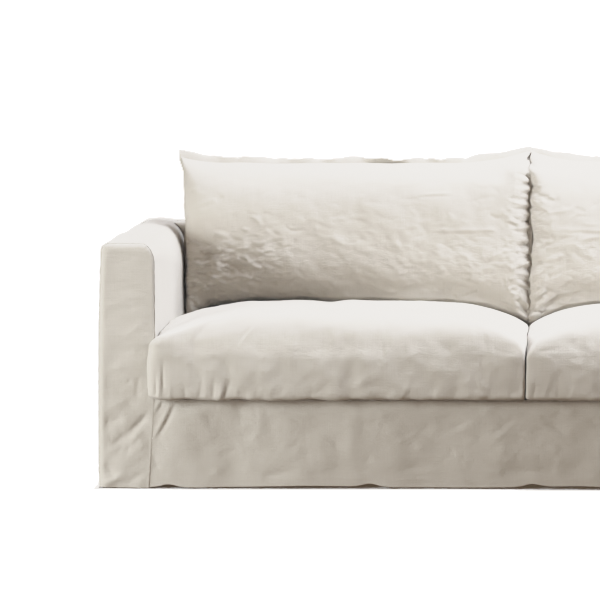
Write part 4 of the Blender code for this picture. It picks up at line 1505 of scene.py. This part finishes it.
def pillow_moves(side, front, rear):
    """How the cover's cloth moves in the simulation, without the swelling of the whole cushion."""
    points, quads, front_index, rear_index = sewn_together(front, rear)
    centre = np.array((front[..., 0].mean(), PILLOW_FOOT_Y, (SEAT_EDGE_Z + PILLOW_TOP_Z) / 2))
    cut = centre + (points - centre) * np.array((1.03, 1.0, 1.06))
    rim = np.ones(front.shape[:2], dtype=bool)
    rim[1:-1, 1:-1] = False
    seam = front_index[rim]
    cut[seam] = centre + (points[seam] - centre) * 0.985
    moved = simulated(f"back {side}", points, quads, cut) - points
    fields = []
    for index in (front_index, rear_index):
        field = moved[index]
        field = without_drift(field - smoothed(field, 60))
        fields.append(capped(field, 0.010))
    height = smooth_step((0.66 - front[..., 2]) / 0.16)
    gap_side = smooth_step(1 - np.abs(front[..., 0]) / 0.10)
    strength = (0.15 + 0.25 * height + 0.40 * gap_side) * smooth_step((np.abs(front[..., 0]) - 0.002) / 0.012)
    return fields[0] * strength[..., None], fields[1] * 0.3


def without_drift(field):
    """Keeps the puckers along each seam, but not the shift of the seam as a whole."""
    rows, columns = field.shape[:2]
    row, column = np.arange(rows), np.arange(columns)
    near_side = np.exp(-((np.minimum(column, columns - 1 - column) / 5.0) ** 2))[None, :, None]
    near_end = np.exp(-((np.minimum(row, rows - 1 - row) / 5.0) ** 2))[:, None, None]
    field = field - near_side * running_mean(field, 0)
    return field - near_end * running_mean(field, 1)


def running_mean(field, axis, reach=7):
    """The mean of each value and its neighbours along one axis of the grid."""
    widths = [(reach, reach) if a == axis else (0, 0) for a in range(3)]
    padded = np.moveaxis(np.pad(field, widths, mode="edge"), axis, 0)
    total = sum(padded[step : step + field.shape[axis]] for step in range(2 * reach + 1))
    return np.moveaxis(total / (2 * reach + 1), 0, axis)


# ---------------------------------------------------------------- floor, light and camera


FLOOR_Z = -0.0080  # the hem hangs clear of the floor, with a dark line under it
FLOOR_RISE = 0.0060  # of the paper, under the middle
FLOOR_REACH = 42.0
WALL_BEND_Y, WALL_BEND = 12.0, 6.0  # where the floor starts to curve up, and its radius
WALL_TOP = 27.0
PAPER_WHITE = (0.92, 0.92, 0.92, 1.0)
PAPER_GLOW = 2.4
GLOW_STARTS = 0.02  # the paper glows from this far outside the cover on
ROUND_WALL = 41.0  # radius of the wall behind the views from the sides and the rear
# Bright cloth levels off below white, as in the photograph: light from the scene, and light shown.
HIGHLIGHTS = (
    (0.30, 0.30),
    (0.60, 0.60),
    (0.70, 0.695),
    (0.80, 0.766),
    (0.90, 0.810),
    (1.0, 0.836),
    (1.2, 0.856),
    (1.6, 0.872),
    (1.9, 0.905),
)
# Deep shadow is a neutral grey: light from the scene, and red, green and blue shown.
SHADOWS = (
    (0.0, 0.0, 0.001, 0.0015),
    (0.01, 0.0105, 0.013, 0.015),
    (0.025, 0.025, 0.029, 0.033),
    (0.05, 0.049, 0.054, 0.057),
    (0.09, 0.088, 0.092, 0.096),
    (0.16, 0.16, 0.16, 0.16),
)
WHITE_LIGHT = 2.2  # the light that is shown as pure white
HIGHLIGHT_TINT = (1.0, 0.982, 0.955)  # of cloth that has levelled off
SKY_COLOUR = (1.0, 0.705, 0.443, 1.0)  # the shadows are a warm brown
SKY_STRENGTH = 0.227
LIGHT_AIM = (0.0, 0.0, 0.45)
# Name, place, width, watts and colour of each soft light.
Softbox = namedtuple("Softbox", "name place width watts colour")
SOFTBOXES = (
    Softbox("front left", (-4.37, -3.67, 1.75), 1.6, 176, (0.904, 0.960, 1.0)),
    Softbox("high behind", (0.0, 3.0, 5.65), 3.0, 415, (0.797, 0.866, 1.0)),
    Softbox("low left", (-3.0, -2.0, 0.5), 1.2, 46, (0.852, 0.934, 1.0)),
    Softbox("overhead right", (1.6, -0.3, 2.4), 1.6, 130, (0.819, 0.881, 1.0)),
    Softbox("high right", (3.98, -2.30, 4.31), 3.0, 85, (0.80, 0.90, 1.0)),
)


def stage():
    """A white floor that curves up behind into a white wall, and a round wall far behind the other views."""
    floor = plain("white paper", PAPER_WHITE, 0.9)
    tree = floor.node_tree
    shader = tree.nodes["Principled BSDF"]
    place = add_node(tree, "ShaderNodeTexCoord", None, None, 3)
    x = place.node("ShaderNodeSeparateXYZ", None, {"Vector": place})
    y = Signal(tree, x.socket.node.outputs[1])
    past_side = x.sum("ABSOLUTE", x) - OUTER_X
    past_front = y.sum("ABSOLUTE", y - (FRONT_Y + BACK_Y) / 2) - DEPTH / 2
    past = x.sum("MAXIMUM", past_side, past_front) / GLOW_STARTS
    glow = x.sum("MINIMUM", x.sum("MAXIMUM", past, 0.0), 1.0)
    colour = x.node("ShaderNodeCombineColor", None, {0: glow, 1: glow, 2: glow})
    tree.links.new(colour.socket, shader.inputs["Emission Color"])
    shader.inputs["Emission Strength"].default_value = PAPER_GLOW
    turn = np.radians(np.linspace(-90, 0, 13))
    path = [(-FLOOR_REACH, FLOOR_Z), (0.0, FLOOR_Z)]
    for angle in turn:
        high = WALL_BEND + WALL_BEND * math.sin(angle) + FLOOR_Z
        path.append((WALL_BEND_Y + WALL_BEND * math.cos(angle), high))
    path.append((WALL_BEND_Y + WALL_BEND, WALL_TOP))
    path = np.array(path)
    across = np.concatenate(((-FLOOR_REACH, -6.0), np.linspace(-2.0, 2.0, 41), (6.0, FLOOR_REACH)))
    x, row = np.meshgrid(across, np.arange(len(path)))
    points = np.stack((x, path[row, 0], path[row, 1] + FLOOR_RISE * np.exp(-((x / 0.7) ** 2))), -1)
    paper = new_mesh("paper", points, grid_quads(*points.shape[:2]))
    paper.data.materials.append(floor)
    paper.visible_diffuse = paper.visible_glossy = False
    turn = np.linspace(0, 2 * math.pi, 65)
    around, high = np.meshgrid(turn, (FLOOR_Z - 1.0, WALL_TOP))
    points = np.stack((ROUND_WALL * np.cos(around), ROUND_WALL * np.sin(around), high), -1)
    wall = new_mesh("round wall", points, grid_quads(*points.shape[:2]))
    wall.data.materials.append(floor)
    wall.visible_diffuse = wall.visible_glossy = wall.visible_shadow = False


def lights():
    world = bpy.data.worlds.new("sky")
    bpy.context.scene.world = world
    world.use_nodes = True
    background = world.node_tree.nodes["Background"]
    background.inputs["Color"].default_value = SKY_COLOUR
    background.inputs["Strength"].default_value = SKY_STRENGTH
    for box in SOFTBOXES:
        light = bpy.data.lights.new(box.name, "AREA")
        light.shape = "DISK"
        light.size = box.width
        light.energy = box.watts
        light.color = box.colour
        lamp = bpy.data.objects.new(box.name, light)
        bpy.context.scene.collection.objects.link(lamp)
        lamp.location = box.place
        lamp.rotation_mode = "QUATERNION"
        lamp.rotation_quaternion = (Vector(LIGHT_AIM) - Vector(box.place)).to_track_quat("-Z", "Y")
        lamp.visible_camera = False


def camera():
    data = bpy.data.cameras.new("camera")
    data.lens = LENS
    data.sensor_width = SENSOR
    view = bpy.data.objects.new("camera", data)
    bpy.context.scene.collection.objects.link(view)
    view.location = EYE
    view.rotation_mode = "QUATERNION"
    view.rotation_quaternion = camera_turn()
    bpy.context.scene.camera = view


def soft_highlights():
    settings = bpy.context.scene.view_settings
    settings.view_transform = "Standard"
    settings.use_curve_mapping = True
    mapping = settings.curve_mapping
    mapping.white_level = (WHITE_LIGHT,) * 3
    for channel, tint in enumerate(HIGHLIGHT_TINT):
        curve = mapping.curves[channel]
        curve.points[0].location = (0.0, SHADOWS[0][1 + channel])
        for light, *shown in SHADOWS[1:]:
            curve.points.new(light / WHITE_LIGHT, shown[channel])
        for light, shown in HIGHLIGHTS:
            share = float(smooth_step((light - 0.60) / 0.30))
            curve.points.new(light / WHITE_LIGHT, shown * mix(1.0, tint, share))
        for point in curve.points:
            point.handle_type = "AUTO_CLAMPED"
    mapping.update()


# ---------------------------------------------------------------- the whole


def fitted(piece, node):
    """Sets a piece on the frame in the place of its node, and returns it."""
    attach(piece, "root")
    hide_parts(node)
    return piece


def dress():
    """Makes every panel and cushion, and sets each on the frame in the place of its part."""
    cover = linen("cover linen", 0.0002)
    cushion = linen("cushion linen", 0.0003)
    for side in ("left", "right"):
        wrap = fitted(arm_wrap(side, cover), f"arm_{side}_wrap")
        panel = fitted(arm_front(side, cover), f"arm_{side}_front")
        seat = fitted(seat_cushion(side, cushion), f"seat_cushion_{side}")
        back = fitted(back_cushion(side, cushion), f"back_cushion_{side}")
    for make, node, flat, held in (
        (apron, "apron", (2.00, 0.235), "hung"),
        (deck, "deck", (1.97, 0.81), "stretched"),
        (inside_back, "inside_back", (2.06, 0.50), "stretched"),
        (outside_back, "outside_back", (2.275, 0.65), "stretched"),
    ):
        panel = fitted(make(cover), node)


dress()
stage()
lights()
camera()
soft_highlights()
